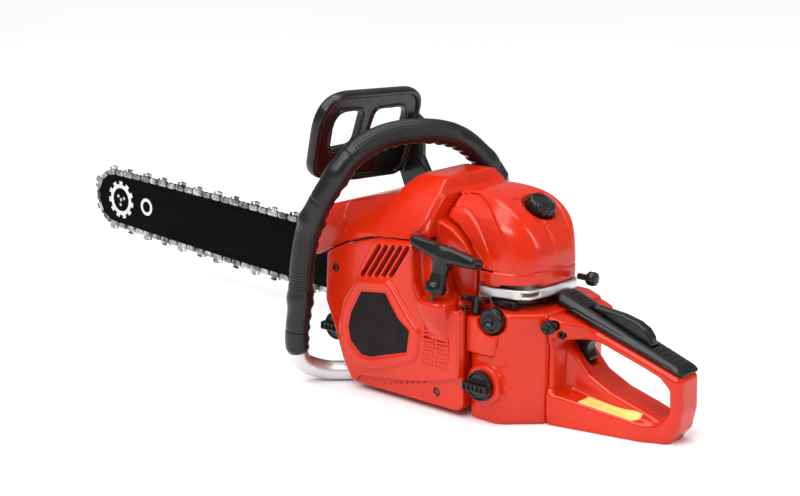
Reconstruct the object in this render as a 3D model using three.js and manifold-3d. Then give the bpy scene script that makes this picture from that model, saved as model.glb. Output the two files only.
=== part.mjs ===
// A petrol chainsaw, built as it comes apart on a bench.
// Millimetres, +Z up. The guide bar points to -X, the rear handle to +X and the starter side to -Y.
// The origin is on the ground below the crankshaft axis.

import * as THREE from 'three';
import { mergeVertices } from 'three/addons/utils/BufferGeometryUtils.js';
import Module from 'manifold-3d';

const wasm = await Module();
wasm.setup();

// ---------------------------------------------------------------- driving dimensions

const GAP = 0.3;                 // left between neighbouring pieces
const CRANK_Z = 70;              // crankshaft axis above the ground
const ENGINE_Y = -4;             // middle plane of the cylinder and the crank webs
const BORE_RADIUS = 22.7;
const CRANK_THROW = 16;          // half the piston's stroke
const ROD_LENGTH = 62;
const SHAFT_RADIUS = 7.5;
const WEB_RADIUS = 32;

const CHAIN_Y = 52;              // middle plane of the bar and chain
const BAR_TILT = THREE.MathUtils.degToRad(2.5);
const BAR_THICKNESS = 4.2;
const BAR_TAIL = 40;             // from the crankshaft axis, towards the nose
const BAR_NOSE = 600;            // nose centre, from the crankshaft axis
const BAR_ROOT_HALF = 31;        // half the bar's height where it leaves the cover
const BAR_MIDDLE_HALF = 33;
const NOSE_RADIUS = 30;
const SPROCKET_RADIUS = 18.6;
const CHAIN_HEIGHT = 7.5;        // tie straps above the bar rail
const CUTTER_HEIGHT = 11.5;
const CHAIN_WIDTH = 6.4;
const CUTTER_PITCH = 33;         // one cutter every four half-links

const STARTER_FACE_Y = -96;
const STARTER_INNER_Y = -42;
const FLYWHEEL_RADIUS = 46;

const COVER_Y = 84;              // outer face of the sprocket cover
const STUD_X = [-62, -92];

const TANK_FRONT_X = 95;
const TANK_REAR_X = 165;
const TANK_TOP_Z = 110;
const AIR_BOX_Z = 121;           // underside of the silver air box base
const DOME_Z = 130.4;            // lower edge of the air filter cover
const HANDLE_RADIUS = 10;
const GRIP_RADIUS = 13;

// ---------------------------------------------------------------- colours

const paint = (color, roughness, metalness = 0) =>
  new THREE.MeshStandardMaterial({ color, roughness, metalness });
const RED = paint(0xe23818, 0.35);
const BLACK = paint(0x1c1c1d, 0.5);
const RUBBER = paint(0x161616, 0.85);
const STEEL = paint(0x9b9da0, 0.3, 1);
const DARK_STEEL = paint(0x55575a, 0.45, 1);
const ALUMINIUM = paint(0xbfc1c3, 0.4, 1);
const BAR_BLACK = paint(0x0b0b0c, 0.3);
const FILTER = paint(0xd8d2c2, 0.9);
const ROPE = paint(0xe9e6dc, 0.9);
const CERAMIC = paint(0xf2f0ea, 0.3);

// ---------------------------------------------------------------- solids

// Turns a closed geometry into a solid, with its faces pointing out.
function solid(geometry) {
  const bare = new THREE.BufferGeometry();
  bare.setAttribute('position', geometry.getAttribute('position'));
  if (geometry.index) bare.setIndex(geometry.index);
  const merged = mergeVertices(bare, 1e-4);
  const place = merged.attributes.position;
  const corner = [new THREE.Vector3(), new THREE.Vector3(), new THREE.Vector3()];
  const faces = [];
  let volume = 0;
  for (let i = 0; i < merged.index.count; i += 3) {
    const [a, b, c] = [0, 1, 2].map((k) => merged.index.getX(i + k));
    if (a === b || b === c || c === a) continue;
    faces.push([a, b, c]);
    [a, b, c].forEach((vertex, k) => corner[k].fromBufferAttribute(place, vertex));
    volume += corner[0].dot(corner[1].cross(corner[2]));
  }
  const outward = volume > 0 ? faces : faces.map(([a, b, c]) => [a, c, b]);
  return new wasm.Manifold(new wasm.Mesh({
    numProp: 3,
    vertProperties: new Float32Array(place.array),
    triVerts: new Uint32Array(outward.flat()),
  }));
}

function geometryOf(body) {
  const mesh = body.getMesh();
  const geometry = new THREE.BufferGeometry();
  geometry.setAttribute('position', new THREE.BufferAttribute(mesh.vertProperties, 3));
  geometry.setIndex(new THREE.BufferAttribute(mesh.triVerts, 1));
  geometry.computeVertexNormals();
  return geometry;
}

const join = (...bodies) => bodies.reduce((sum, body) => sum.add(body));
const cut = (body, ...tools) => tools.reduce((rest, tool) => rest.subtract(tool), body);
const common = (...bodies) => bodies.reduce((rest, body) => rest.intersect(body));

// A closed outline as plain corners: anticlockwise, with no point twice.
function polygon(points) {
  const open = points.filter((point, i) => point.distanceTo(points[(i + 1) % points.length]) > 1e-3);
  return new THREE.Shape(THREE.ShapeUtils.isClockWise(open) ? open.reverse() : open);
}

// An outline from [u, v] corners, each rounded by the given radius.
function outline(corners, radius = 0, segments = 2) {
  const points = corners.map(([u, v]) => new THREE.Vector2(u, v));
  if (!radius) return polygon(points);
  const rounded = points.flatMap((point, i) => {
    const before = points[(i + points.length - 1) % points.length];
    const after = points[(i + 1) % points.length];
    const reach = Math.min(radius, point.distanceTo(before) * 0.45, point.distanceTo(after) * 0.45);
    const start = point.clone().add(before.clone().sub(point).setLength(reach));
    const end = point.clone().add(after.clone().sub(point).setLength(reach));
    return new THREE.QuadraticBezierCurve(start, point, end).getPoints(segments);
  });
  return polygon(rounded);
}

// An extrusion whose edge is rounded inwards by the given amount.
function extrusion(shape, depth, edge, curveSegments) {
  return new THREE.ExtrudeGeometry(polygon(shape.getPoints(curveSegments)), {
    depth: depth - 2 * edge,
    bevelEnabled: edge > 0,
    bevelThickness: edge,
    bevelSize: edge,
    bevelOffset: -edge,
    bevelSegments: 2,
  }).translate(0, 0, edge);
}

// Outlines in XZ, YZ and XY, made solid along the third axis.
function slabY(shape, y0, y1, edge = 0, curveSegments = 3) {
  return solid(extrusion(shape, y1 - y0, edge, curveSegments).rotateX(Math.PI / 2).translate(0, y1, 0));
}

function slabX(shape, x0, x1, edge = 0, curveSegments = 3) {
  const turn = new THREE.Matrix4().set(0, 0, 1, 0, 1, 0, 0, 0, 0, 1, 0, 0, 0, 0, 0, 1);
  return solid(extrusion(shape, x1 - x0, edge, curveSegments).applyMatrix4(turn).translate(x0, 0, 0));
}

function slabZ(shape, z0, z1, edge = 0, curveSegments = 3) {
  return solid(extrusion(shape, z1 - z0, edge, curveSegments).translate(0, 0, z0));
}

function block(x0, x1, y0, y1, z0, z1) {
  const box = new THREE.BoxGeometry(x1 - x0, y1 - y0, z1 - z0);
  return solid(box.translate((x0 + x1) / 2, (y0 + y1) / 2, (z0 + z1) / 2));
}

// A solid turned about the Y axis through (x, z), from [radius, y] points.
function turnY(profile, x, z, sides = 20) {
  const points = profile.map(([radius, y]) => new THREE.Vector2(radius, y));
  return solid(new THREE.LatheGeometry(points, sides).translate(x, 0, z));
}

const discY = (radius, y0, y1, x = 0, z = CRANK_Z, sides = 20) =>
  turnY([[0, y0], [radius, y0], [radius, y1], [0, y1]], x, z, sides);

// A solid turned about the Z axis through (x, y), from [radius, z] points.
function turnZ(profile, x, y, sides = 20) {
  const points = profile.map(([radius, z]) => new THREE.Vector2(radius, z));
  return solid(new THREE.LatheGeometry(points, sides).rotateX(Math.PI / 2).translate(x, y, 0));
}

const discZ = (radius, z0, z1, x = 0, y = 0, sides = 20) =>
  turnZ([[0, z0], [radius, z0], [radius, z1], [0, z1]], x, y, sides);

function discX(radius, x0, x1, y, z, sides = 16) {
  const points = [[0, x0], [radius, x0], [radius, x1], [0, x1]].map(([r, x]) => new THREE.Vector2(r, x));
  return solid(new THREE.LatheGeometry(points, sides).rotateZ(-Math.PI / 2).translate(0, y, z));
}

// A round tube along a smooth curve through the points.
function sweep(points, radius, steps, sides = 12) {
  const corners = Array.from({ length: sides }, (_, i) => i * 2 * Math.PI / sides);
  const circle = new THREE.Shape(corners.map((a) => new THREE.Vector2(radius * Math.cos(a),
    radius * Math.sin(a))));
  const path = new THREE.CatmullRomCurve3(points.map((point) => new THREE.Vector3(...point)), false,
    'centripetal');
  return solid(new THREE.ExtrudeGeometry(circle, { steps, extrudePath: path, bevelEnabled: false }));
}

// ---------------------------------------------------------------- assembly

const saw = new THREE.Group();

function add(name, body, material, parent = saw) {
  const mesh = new THREE.Mesh(geometryOf(body), material);
  mesh.name = name;
  parent.add(mesh);
}

// ---------------------------------------------------------------- engine

const BEARING_RADIUS = 17.5;
const BEARING_WIDTH = 11;
const WEB_WIDTH = 7.5;
const WEB_GAP = 18.6;                       // between the webs, for the connecting rod
const CHAMBER_HALF = WEB_GAP / 2 + WEB_WIDTH + 1.2;
const LEFT_CHAMBER_Y = ENGINE_Y - CHAMBER_HALF;
const RIGHT_CHAMBER_Y = ENGINE_Y + CHAMBER_HALF;
const OIL_FILLER = { x: -99, z: 50, radius: 11 };

function makeCrankcase() {
  const side = outline([
    [-92, 0], [74, 0], [80, 30], [78, 64], [58, 100], [34, 116], [-40, 116],
    [-56, 90], [-104, 82], [-118, 72], [-118, 36], [-102, 12],
  ], 5);
  const casting = slabY(side, -40, 32);
  const barPad = slabY(outline([[-106, 56], [-46, 54], [-46, 90], [-106, 92]], 4), 31, 49.4);
  const fillerNeck = discY(16, -56, -38, OIL_FILLER.x, OIL_FILLER.z);
  const chamber = discY(WEB_RADIUS + 3, LEFT_CHAMBER_Y, RIGHT_CHAMBER_Y);
  const bearingSeats = [
    discY(BEARING_RADIUS + GAP, LEFT_CHAMBER_Y - BEARING_WIDTH, LEFT_CHAMBER_Y + 1),
    discY(BEARING_RADIUS + GAP, RIGHT_CHAMBER_Y - 1, RIGHT_CHAMBER_Y + BEARING_WIDTH),
  ];
  const shaftBore = discY(SHAFT_RADIUS + 1.2, -60, 60);
  const cylinderSeat = discZ(26, CRANK_Z, 120, 0, ENGINE_Y);
  const oilSpace = slabY(outline([[-90, 14], [-46, 14], [-46, 60], [-60, 76], [-106, 72], [-112, 44]], 6),
    -34, 26);
  const fillerHole = discY(OIL_FILLER.radius, -60, -30, OIL_FILLER.x, OIL_FILLER.z);
  const studHoles = STUD_X.map((x) => discY(4 + GAP, 36, 52, x, CRANK_Z - x * Math.tan(BAR_TILT), 12));
  const rearPocket = slabY(outline([[42, 12], [68, 12], [72, 60], [55, 92], [44, 96]], 4), -42, 26);
  return cut(join(casting, barPad, fillerNeck), chamber, ...bearingSeats, shaftBore, cylinderSeat,
    oilSpace, fillerHole, rearPocket, ...studHoles);
}

function makeBearing(y0) {
  return cut(discY(BEARING_RADIUS, y0, y0 + BEARING_WIDTH - GAP), discY(SHAFT_RADIUS + GAP, y0 - 1, y0 + 20));
}

// A half crankshaft: one web and the shaft that runs out of it. sign is -1 for the flywheel side.
function makeCrankHalf(sign) {
  const webInner = ENGINE_Y + sign * (WEB_GAP / 2);
  const webOuter = webInner + sign * WEB_WIDTH;
  const end = sign < 0 ? -69 : 77;
  const low = Math.min(webOuter, end);
  const high = Math.max(webOuter, end);
  const web = discY(WEB_RADIUS, Math.min(webInner, webOuter), Math.max(webInner, webOuter));
  return join(web, discY(SHAFT_RADIUS, low, high));
}

// The engine is drawn at top dead centre.
const PIN_Z = CRANK_Z + CRANK_THROW;
const WRIST_Z = PIN_Z + ROD_LENGTH;
const CROWN_Z = WRIST_Z + 16;
const SKIRT_Z = WRIST_Z - 11.5;

const makeCrankPin = () =>
  discY(8, ENGINE_Y - WEB_GAP / 2 + GAP, ENGINE_Y + WEB_GAP / 2 - GAP, 0, PIN_Z);

function makeConnectingRod() {
  const halfWidth = 5;
  const bigEnd = discY(13, ENGINE_Y - halfWidth, ENGINE_Y + halfWidth, 0, PIN_Z);
  const smallEnd = discY(9, ENGINE_Y - halfWidth, ENGINE_Y + halfWidth, 0, WRIST_Z);
  const shank = block(-5, 5, ENGINE_Y - 3, ENGINE_Y + 3, PIN_Z + 10, WRIST_Z - 6);
  const pinHole = discY(8 + GAP, -30, 30, 0, PIN_Z);
  const wristHole = discY(5 + GAP, -30, 30, 0, WRIST_Z);
  return cut(join(bigEnd, smallEnd, shank), pinHole, wristHole);
}

function makePiston() {
  const ringGroove = (z) => [[BORE_RADIUS - GAP, z], [BORE_RADIUS - 2, z], [BORE_RADIUS - 2, z + 1.5],
    [BORE_RADIUS - GAP, z + 1.5]];
  const wall = BORE_RADIUS - GAP;
  const shell = turnZ([[0, SKIRT_Z], [wall, SKIRT_Z], ...ringGroove(CROWN_Z - 9), ...ringGroove(CROWN_Z - 5),
    [wall, CROWN_Z], [0, CROWN_Z]], 0, ENGINE_Y);
  const hollow = discZ(18.5, SKIRT_Z - 1, CROWN_Z - 5, 0, ENGINE_Y);
  const bosses = [-1, 1].map((sign) => block(-8, 8, ENGINE_Y + Math.min(6 * sign, 19 * sign),
    ENGINE_Y + Math.max(6 * sign, 19 * sign), WRIST_Z - 8, CROWN_Z - 4));
  const pinHole = discY(5 + GAP, ENGINE_Y - 30, ENGINE_Y + 30, 0, WRIST_Z);
  return cut(join(cut(shell, hollow), ...bosses), pinHole);
}

function makeCylinder() {
  const finBottom = 127;
  const finPitch = 10.5;
  const finCount = 6;
  const barrel = discZ(27, 118.3, 186, 0, ENGINE_Y, 16);
  const base = block(-32, 32, ENGINE_Y - 28, ENGINE_Y + 28, 116.3, 122);
  const skirt = discZ(25.5, 106, 119, 0, ENGINE_Y, 16);
  const fins = Array.from({ length: finCount }, (_, i) => {
    const half = i === finCount - 1 ? 34 : 41;
    const shape = outline([[-half, -38], [half, -38], [half, 36], [-half, 36]], 12);
    return slabZ(shape, finBottom + finPitch * i, finBottom + finPitch * i + 2.6, 0, 2);
  });
  const exhaust = block(-47.4, -24, ENGINE_Y - 14, ENGINE_Y + 14, 133, 153);
  const intake = block(24, 46, ENGINE_Y - 14, ENGINE_Y + 14, 138, 158);
  const bore = discZ(BORE_RADIUS, 100, 172, 0, ENGINE_Y);
  const exhaustPort = discX(9, -60, 0, ENGINE_Y, 143);
  const intakePort = discX(8, 0, 60, ENGINE_Y, 148);
  return cut(join(barrel, base, skirt, ...fins, exhaust, intake), bore, exhaustPort, intakePort);
}

const PLUG_X = 18;

function makeSparkPlug() {
  const thread = turnZ([[0, 186 + GAP], [5, 186 + GAP], [5, 190], [9, 190], [9, 196], [5, 196], [5, 199],
    [0, 199]],
    PLUG_X, ENGINE_Y, 12);
  return thread;
}

function makePlugBoot() {
  const cap = discZ(8.5, 199 + GAP, 211, PLUG_X, ENGINE_Y, 16);
  const lead = sweep([[22, -8, 205], [32, -18, 202], [34, -36, 192], [30, -50, 178]], 3.2, 8, 8);
  return join(cap, lead);
}

function makeMuffler() {
  const shell = slabY(outline([[-100, 98], [-60, 97], [-50, 110], [-48, 164], [-100, 156]], 8), -37, 33);
  const hollow = slabY(outline([[-96, 102], [-62, 101], [-54, 112], [-52, 159], [-96, 152]], 6), -33, 29);
  const outlet = join(block(-110, -100, 6, 28, 112, 126), block(-102, -90, 8, 26, 114, 124));
  const outletBore = block(-112, -96, 9, 25, 115, 123);
  const inlet = discX(9, -60, -40, ENGINE_Y, 143);
  return cut(join(shell, outlet), hollow, outletBore, inlet);
}

// ---------------------------------------------------------------- flywheel side

function makeFlywheel() {
  const bladeCount = 10;
  const disc = turnY([[SHAFT_RADIUS + GAP, -64], [15, -64], [15, -58], [FLYWHEEL_RADIUS, -58],
    [FLYWHEEL_RADIUS, -46], [42, -46], [42, -52], [15, -52], [15, -44], [SHAFT_RADIUS + GAP, -44],
    [SHAFT_RADIUS + GAP, -64]], 0, CRANK_Z, 24);
  const blades = Array.from({ length: bladeCount }, (_, i) => {
    const blade = new THREE.BoxGeometry(19, 8, 2.4).translate(34, -61,
      0).rotateY(i * 2 * Math.PI / bladeCount);
    return solid(blade.translate(0, 0, CRANK_Z));
  });
  return join(disc, ...blades);
}

const makeIgnitionCoil = () => join(block(-52, -26, -62, -46, 113, 131),
  block(-46, -34, -58, -50, 109.5, 114));

// The rounded side outline of the starter housing, drawn smaller by inset.
function starterSide(inset) {
  const corners = [
    [-82 + inset, 138 - inset], [-57 + inset, 150 - inset], [-10, 164 - inset], [36 - inset, 167 - inset],
    [60 - inset, 146 - inset], [70 - inset, 117 - inset], [97 - inset, 111 - inset], [97 - inset, 15 + inset],
    [90 - inset, 8 + inset], [-44, 8 + inset], [-62 + inset, 32 + inset], [-72 + inset, 60],
    [-85 + inset, 88],
  ];
  return outline(corners, 7);
}

const ROPE_RADIUS = 1.75;
const ROPE_ROUTE = [[14.4, -78, 87], [34, -79, 93], [56, -84, 98], [67, -96, 103], [71, -104.2, 113.4]];

function makeStarterHousing() {
  const wall = 3;
  const shell = cut(
    slabY(starterSide(0), STARTER_FACE_Y, STARTER_INNER_Y, 4),
    slabY(starterSide(wall), STARTER_FACE_Y + wall + 1.5, STARTER_INNER_Y + 1),
  );
  const pocket = slabY(outline([[40, 180], [38, 132], [48, 108], [60, 104], [86, 104], [96, 116],
    [100, 180]], 6), -100, -79.5);
  const pocketBack = slabY(outline([[34, 180], [33, 130], [44, 100], [97, 100], [104, 180]], 6), -80,
    STARTER_INNER_Y);
  const pocketSpace = slabY(outline([[37, 170], [36, 131], [46, 103], [93, 103], [90, 170]], 6), -77,
    STARTER_INNER_Y + 1);
  const coverRoom = block(36.8, 100, -66.4, STARTER_INNER_Y + 1, 112.6, 180);
  const tankRoom = block(93, 100, -90, STARTER_INNER_Y + 1, 0, 180);
  const post = discY(6, -92, -72);
  const slots = Array.from({ length: 5 }, (_, i) => {
    const top = -8 + 9.3 * i;
    const low = -30 + 9.7 * i;
    return slabY(outline([[low - 2, 124 + i], [low + 2, 124 + i], [top + 2, 157 + i], [top - 2, 157 + i]]),
      -100, -88);
  });
  const ropeBoss = slabX(outline([[-95, 84], [-113, 98], [-114, 112], [-78, 112], [-78, 84]], 3), 54, 90);
  const ropeHole = sweep([...ROPE_ROUTE, [72, -106, 120]], ROPE_RADIUS + 3 * GAP, 12, 8);
  const back = cut(common(slabY(starterSide(0), -80, STARTER_INNER_Y), pocketBack), pocketSpace);
  return cut(join(cut(shell, pocket, ...slots), back, ropeBoss, post), ropeHole, coverRoom, tankRoom);
}

const makeStarterRope = () => sweep(ROPE_ROUTE, ROPE_RADIUS, 12, 8);

function makeStarterPulley() {
  return turnY([[6 + GAP, -84], [26, -84], [26, -81], [21, -80], [21, -76], [26, -75], [26, -72], [14, -72],
    [14, -69.5], [6 + GAP, -69.5], [6 + GAP, -84]], 0, CRANK_Z);
}

const makeRecoilSpring = () => turnY([[9, -91], [24, -91], [24, -85], [9, -85], [9, -91]], 0, CRANK_Z);

// ---------------------------------------------------------------- fuel tank, rear handle

function tankPlan(inset) {
  return outline([
    [TANK_FRONT_X + inset, -80 + inset], [132 - inset / 2, -79 + inset], [TANK_REAR_X - inset, -47 + inset],
    [TANK_REAR_X - inset, 46 - inset], [138 - inset / 2, 62 - inset], [TANK_FRONT_X + inset, 62 - inset],
  ], 9);
}

const FUEL_CAP = { x: 118, z: 39, radius: 15 };
const LEFT_MOUNT = { x: 119, y: -74, z: 101 };

function makeFuelTank() {
  const wall = 3.5;
  const body = slabZ(tankPlan(0), 0, TANK_TOP_Z, 4);
  const space = slabZ(tankPlan(wall), wall, TANK_TOP_Z - 26, 3);
  const neck = discY(19, -84, -70, FUEL_CAP.x, FUEL_CAP.z);
  const filler = discY(FUEL_CAP.radius - 4, -90, -60, FUEL_CAP.x, FUEL_CAP.z);
  const mountNotch = discY(14, -90, -62, LEFT_MOUNT.x, LEFT_MOUNT.z);
  const rodSlot = block(118, 170, -4, 4, 90, 112);
  const leftShoulder = block(90, 112, -92, -56, 104.5, 120);
  const hoseHole = discZ(3, 70, 120, 100, 20, 12);
  return cut(join(body, neck), space, filler, mountNotch, rodSlot, leftShoulder, hoseHole);
}

function makeFuelCap() {
  const { x, z, radius } = FUEL_CAP;
  const cap = turnY([[0, -91], [radius - 1, -91], [radius, -90], [radius, -84.3], [radius - 4.6, -84.3],
    [radius - 4.6, -74], [0, -74]], x, z, 24);
  const bar = block(x - 17, x + 13, -98, -90, z - 4, z + 4);
  return join(cap, bar);
}

function makeOilCap() {
  const { x, z, radius } = OIL_FILLER;
  const cap = turnY([[0, -63], [14, -63], [15, -62], [15, -56.3], [radius - 0.6, -56.3], [radius - 0.6, -46],
    [0, -46]], x, z, 24);
  return join(cap, block(x - 12, x + 12, -69, -62, z - 3, z + 3));
}

// The rear grip's top line, and the line where its black cover sits on the red moulding.
const gripTop = (x) => 124 - 0.345 * (x - 155);
const coverSeat = (x) => 108.5 - 0.293 * (x - 158);
const HANDLE_HALF = 18;
const LATCH = { x: 173, z: 98 };

function makeRearHandle() {
  const side = outline([
    [TANK_REAR_X + GAP, 0], [280, 0], [293, 12], [298, 34], [297, coverSeat(297)],
    [TANK_REAR_X + GAP, coverSeat(TANK_REAR_X)],
  ], 8);
  const loop = slabY(outline([[174, 87], [206, 84], [254, 69], [274, 63], [285, 54], [286, 34], [278, 22],
    [256, 29], [222, 38], [199, 50], [186, 67], [176, 80]], 5), -60, 60);
  const railPlan = outline([[TANK_REAR_X + GAP, -46], [262, -25], [284, -12], [284, 12], [262, 25],
    [TANK_REAR_X + GAP, 46]], 5);
  const railSide = outline([[160, -2], [300, -2], [300, 12], [250, 17], [180, 28], [160, 28]]);
  const rail = common(slabZ(railPlan, 0, 30), slabY(railSide, -50, 50));
  const flareLow = slabZ(outline([[TANK_REAR_X + GAP, -44], [174, -40], [180, -16], [180, 16], [174, 40],
    [TANK_REAR_X + GAP, 44]], 3), 10, 90);
  const flareHigh = slabZ(outline([[TANK_REAR_X + GAP, -46], [184, -40], [204, -16], [204, 16], [184, 40],
    [TANK_REAR_X + GAP, 46]], 4), 86, 106);
  const seat = slabY(outline([[150, coverSeat(150)], [300, coverSeat(300)], [300, 200],
    [150, 200]]), -60, 60);
  const body = cut(join(slabY(side, -HANDLE_HALF, HANDLE_HALF), flareLow, cut(flareHigh, seat)), loop);
  const triggerSlot = block(168, 204, -7, 7, 55, 99);
  const leverSlot = cut(block(200, 262, -7, 7, 66, 120), loop);
  const rodSlot = block(150, 204, -3, 3, 90, 98);
  const latchHole = discY(4 + GAP, -60, -31, LATCH.x, LATCH.z, 12);
  return cut(join(body, rail), triggerSlot, leverSlot, rodSlot, latchHole);
}

function makeHandleCover() {
  const rear = TANK_REAR_X + 2 * GAP;
  const side = outline([[153, TANK_TOP_Z + GAP], [155, gripTop(155)], [291, gripTop(291)],
    [295, coverSeat(295) + GAP], [rear, coverSeat(rear) + GAP], [rear, TANK_TOP_Z + GAP]]);
  const window = block(183.5, 258.5, -6.5, 6.5, 60, 130);
  return cut(slabY(side, -HANDLE_HALF + 1, HANDLE_HALF - 1), window);
}

const TRIGGER_PIVOT = { x: 180, z: 92 };

function makeTrigger() {
  const side = outline([[172, 90], [176, 97], [184, 97.5], [198, 87.5], [195, 82], [187, 79], [184, 70],
    [189, 60], [183, 58], [175, 68]], 3);
  return cut(slabY(side, -6, 6), discY(2 + GAP, -10, 10, TRIGGER_PIVOT.x, TRIGGER_PIVOT.z, 12));
}

const makeTriggerPin = () => discY(2, -6.7, 6.7, TRIGGER_PIVOT.x, TRIGGER_PIVOT.z, 12);

function makeLockout() {
  const side = outline([[203, 90], [203, 106], [189, 110.5], [188.5, 113.5], [192, 114.5], [222, 112],
    [240, 108], [250, 103], [255.5, 96], [256.5, 89], [255.5, 82], [251, 78], [244, 80], [240, 88],
    [212, 88]], 2);
  return slabY(side, -5.5, 5.5);
}

const makeLatchButton = () =>
  join(discY(4, -52, -37, LATCH.x, LATCH.z, 16), discY(6.5, -57, -51, LATCH.x, LATCH.z));

const makeThrottleRod = () => block(122, 171, -1.5, 1.5, 92.5, 95.5);

// ---------------------------------------------------------------- air intake

function domePlan(inset) {
  return outline([
    [94 + inset, -64 + inset], [134 - inset / 2, -57 + inset], [147 - inset, -47 + inset], [151 - inset, -20],
    [151 - inset, 20 - inset / 2], [115 - inset, 54 - inset], [94 + inset, 56 - inset],
  ], 8);
}

function makeAirBoxBase() {
  const plate = slabZ(domePlan(-0.8), AIR_BOX_Z, DOME_Z - GAP, 0);
  const inner = slabZ(domePlan(4), AIR_BOX_Z + 3, DOME_Z + 1, 0);
  const throat = discZ(10, AIR_BOX_Z - 1, AIR_BOX_Z + 5, 112, ENGINE_Y);
  return cut(plate, inner, throat);
}

// The line in side view where the air filter cover meets the cylinder cover.
const PARTING = [[47, 187], [64, 181], [79, 170], [90, 156], [94.5, 146]];
const RIGHT_Y = 56;              // right side of the covers

// The dome's side profile, drawn smaller by inset.
function domeSide(inset) {
  const crest = new THREE.CubicBezierCurve(
    new THREE.Vector2(70, 217 - inset), new THREE.Vector2(112, 214 - inset),
    new THREE.Vector2(149 - inset, 192 - inset), new THREE.Vector2(151.5 - inset, 150),
  ).getPoints(8).map((point) => point.toArray());
  return outline([[PARTING[0][0] + inset, 213 - inset], ...crest, [151.5 - inset, DOME_Z], [94.5, DOME_Z],
    ...[...PARTING].reverse().map(([x, z]) => [Math.max(x, PARTING[0][0] + inset), z])]);
}

// The dome's cross-section, drawn smaller by inset.
function domeSection(inset) {
  const side = (sign, y) => new THREE.CubicBezierCurve(
    new THREE.Vector2(sign * (y - inset), 150), new THREE.Vector2(sign * (y - 4 - inset), 203 - inset),
    new THREE.Vector2(sign * 38, 218 - inset), new THREE.Vector2(0, 218 - inset),
  ).getPoints(7).map((point) => point.toArray());
  return outline([[-66 + inset, 100], ...side(-1, 66), ...side(1, RIGHT_Y).reverse(),
    [RIGHT_Y - inset, 100]]);
}

// The knob's axis leans back with the dome.
const KNOB = { x: 118, z: 196, lean: THREE.MathUtils.degToRad(26) };

// A disc on the knob's axis, between two heights above the knob's seat.
function knobDisc(radius, low, high, sides = 20) {
  const disc = new THREE.CylinderGeometry(radius, radius, high - low, sides).rotateX(Math.PI / 2);
  return solid(disc.translate(0, 0, (low + high) / 2).rotateY(KNOB.lean).translate(KNOB.x, 0, KNOB.z));
}

function makeFilterCover() {
  const wall = 3;
  const dome = (inset) => common(slabY(domeSide(inset), -70, 70), slabX(domeSection(inset), 40, 160),
    join(slabZ(domePlan(inset), 120, 230), block(40, 100, -66 + inset, RIGHT_Y - inset, 120, 230)));
  const outer = dome(0);
  const knobCup = common(outer, knobDisc(20, -3, 20));
  const shell = cut(outer, dome(wall), common(slabZ(domePlan(wall), 120, 140),
    block(90, 160, -70, 70, 120, 140)));
  return cut(join(shell, knobCup), knobDisc(17.5, -GAP, 40), knobDisc(4 + GAP, -20, 20, 12));
}

function makeAirFilter() {
  const pad = slabZ(outline([[99.5, -40], [138, -40], [140, 12], [125, 27], [99.5, 34]], 6), DOME_Z - 5,
    170, 3);
  return cut(pad, knobDisc(4 + GAP, -90, 20, 12));
}

function makeFilterKnob() {
  const fluteCount = 12;
  const disc = turnZ([[0, 0], [15, 0], [15, 11], [13, 13], [0, 13]], 0, 0, 24);
  const flutes = Array.from({ length: fluteCount }, (_, i) => {
    const flute = new THREE.CylinderGeometry(1.6, 1.6, 20, 8).rotateX(Math.PI / 2).translate(16, 0, 4);
    return solid(flute.rotateZ(i * 2 * Math.PI / fluteCount));
  });
  return cut(disc, ...flutes);
}

function makeCarburettor() {
  const body = block(64, 81, -22, 16, 130, 158);
  const throat = discX(8, 60, 100, ENGINE_Y, 148);
  const pumpCover = block(66, 79, -25, -21, 133, 155);
  const lever = block(70, 76, 15, 24, 134, 140);
  return cut(join(body, pumpCover, lever), throat);
}

const makeIntakeBoot = () => cut(discX(15, 46 + GAP, 64 - GAP, ENGINE_Y, 148),
  discX(8, 40, 70, ENGINE_Y, 148));

const CHOKE = { y: 17, z: 134 };

function makeChokeKnob() {
  const points = [[0, 155.5], [2.5, 155.5], [2.5, 166], [4, 168], [7, 170], [7, 175], [5, 177], [0, 177]];
  const profile = points.map(([radius, x]) => new THREE.Vector2(radius, x));
  return solid(new THREE.LatheGeometry(profile, 20).rotateZ(-Math.PI / 2).translate(0, CHOKE.y, CHOKE.z));
}

function makeStopSwitch() {
  const lever = block(82, 106, -82, -69, 117.5, 121.5);
  const hub = discZ(5, 105.5, 118, 102, -74, 16);
  return join(lever, hub);
}

// ---------------------------------------------------------------- cylinder cover

// The line in side view where the cylinder cover meets the starter housing.
const SEAM = [[-105, 130], [-82, 141], [-57, 152.4], [-10, 166.4], [36, 169.4]];

// The cylinder cover's cross-section, drawn smaller by inset.
function coverSection(inset) {
  const side = (sign, y, shoulder) => new THREE.CubicBezierCurve(
    new THREE.Vector2(sign * (y - inset), 166), new THREE.Vector2(sign * (y - 12 - inset), 198 - inset),
    new THREE.Vector2(sign * (shoulder + 18), 222 - inset), new THREE.Vector2(sign * shoulder, 225 - inset),
  ).getPoints(5).map((point) => point.toArray());
  return outline([[-90 + inset, 90], ...side(-1, 90, 36), ...side(1, RIGHT_Y, 24).reverse(),
    [RIGHT_Y - inset, 90]]);
}

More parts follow.
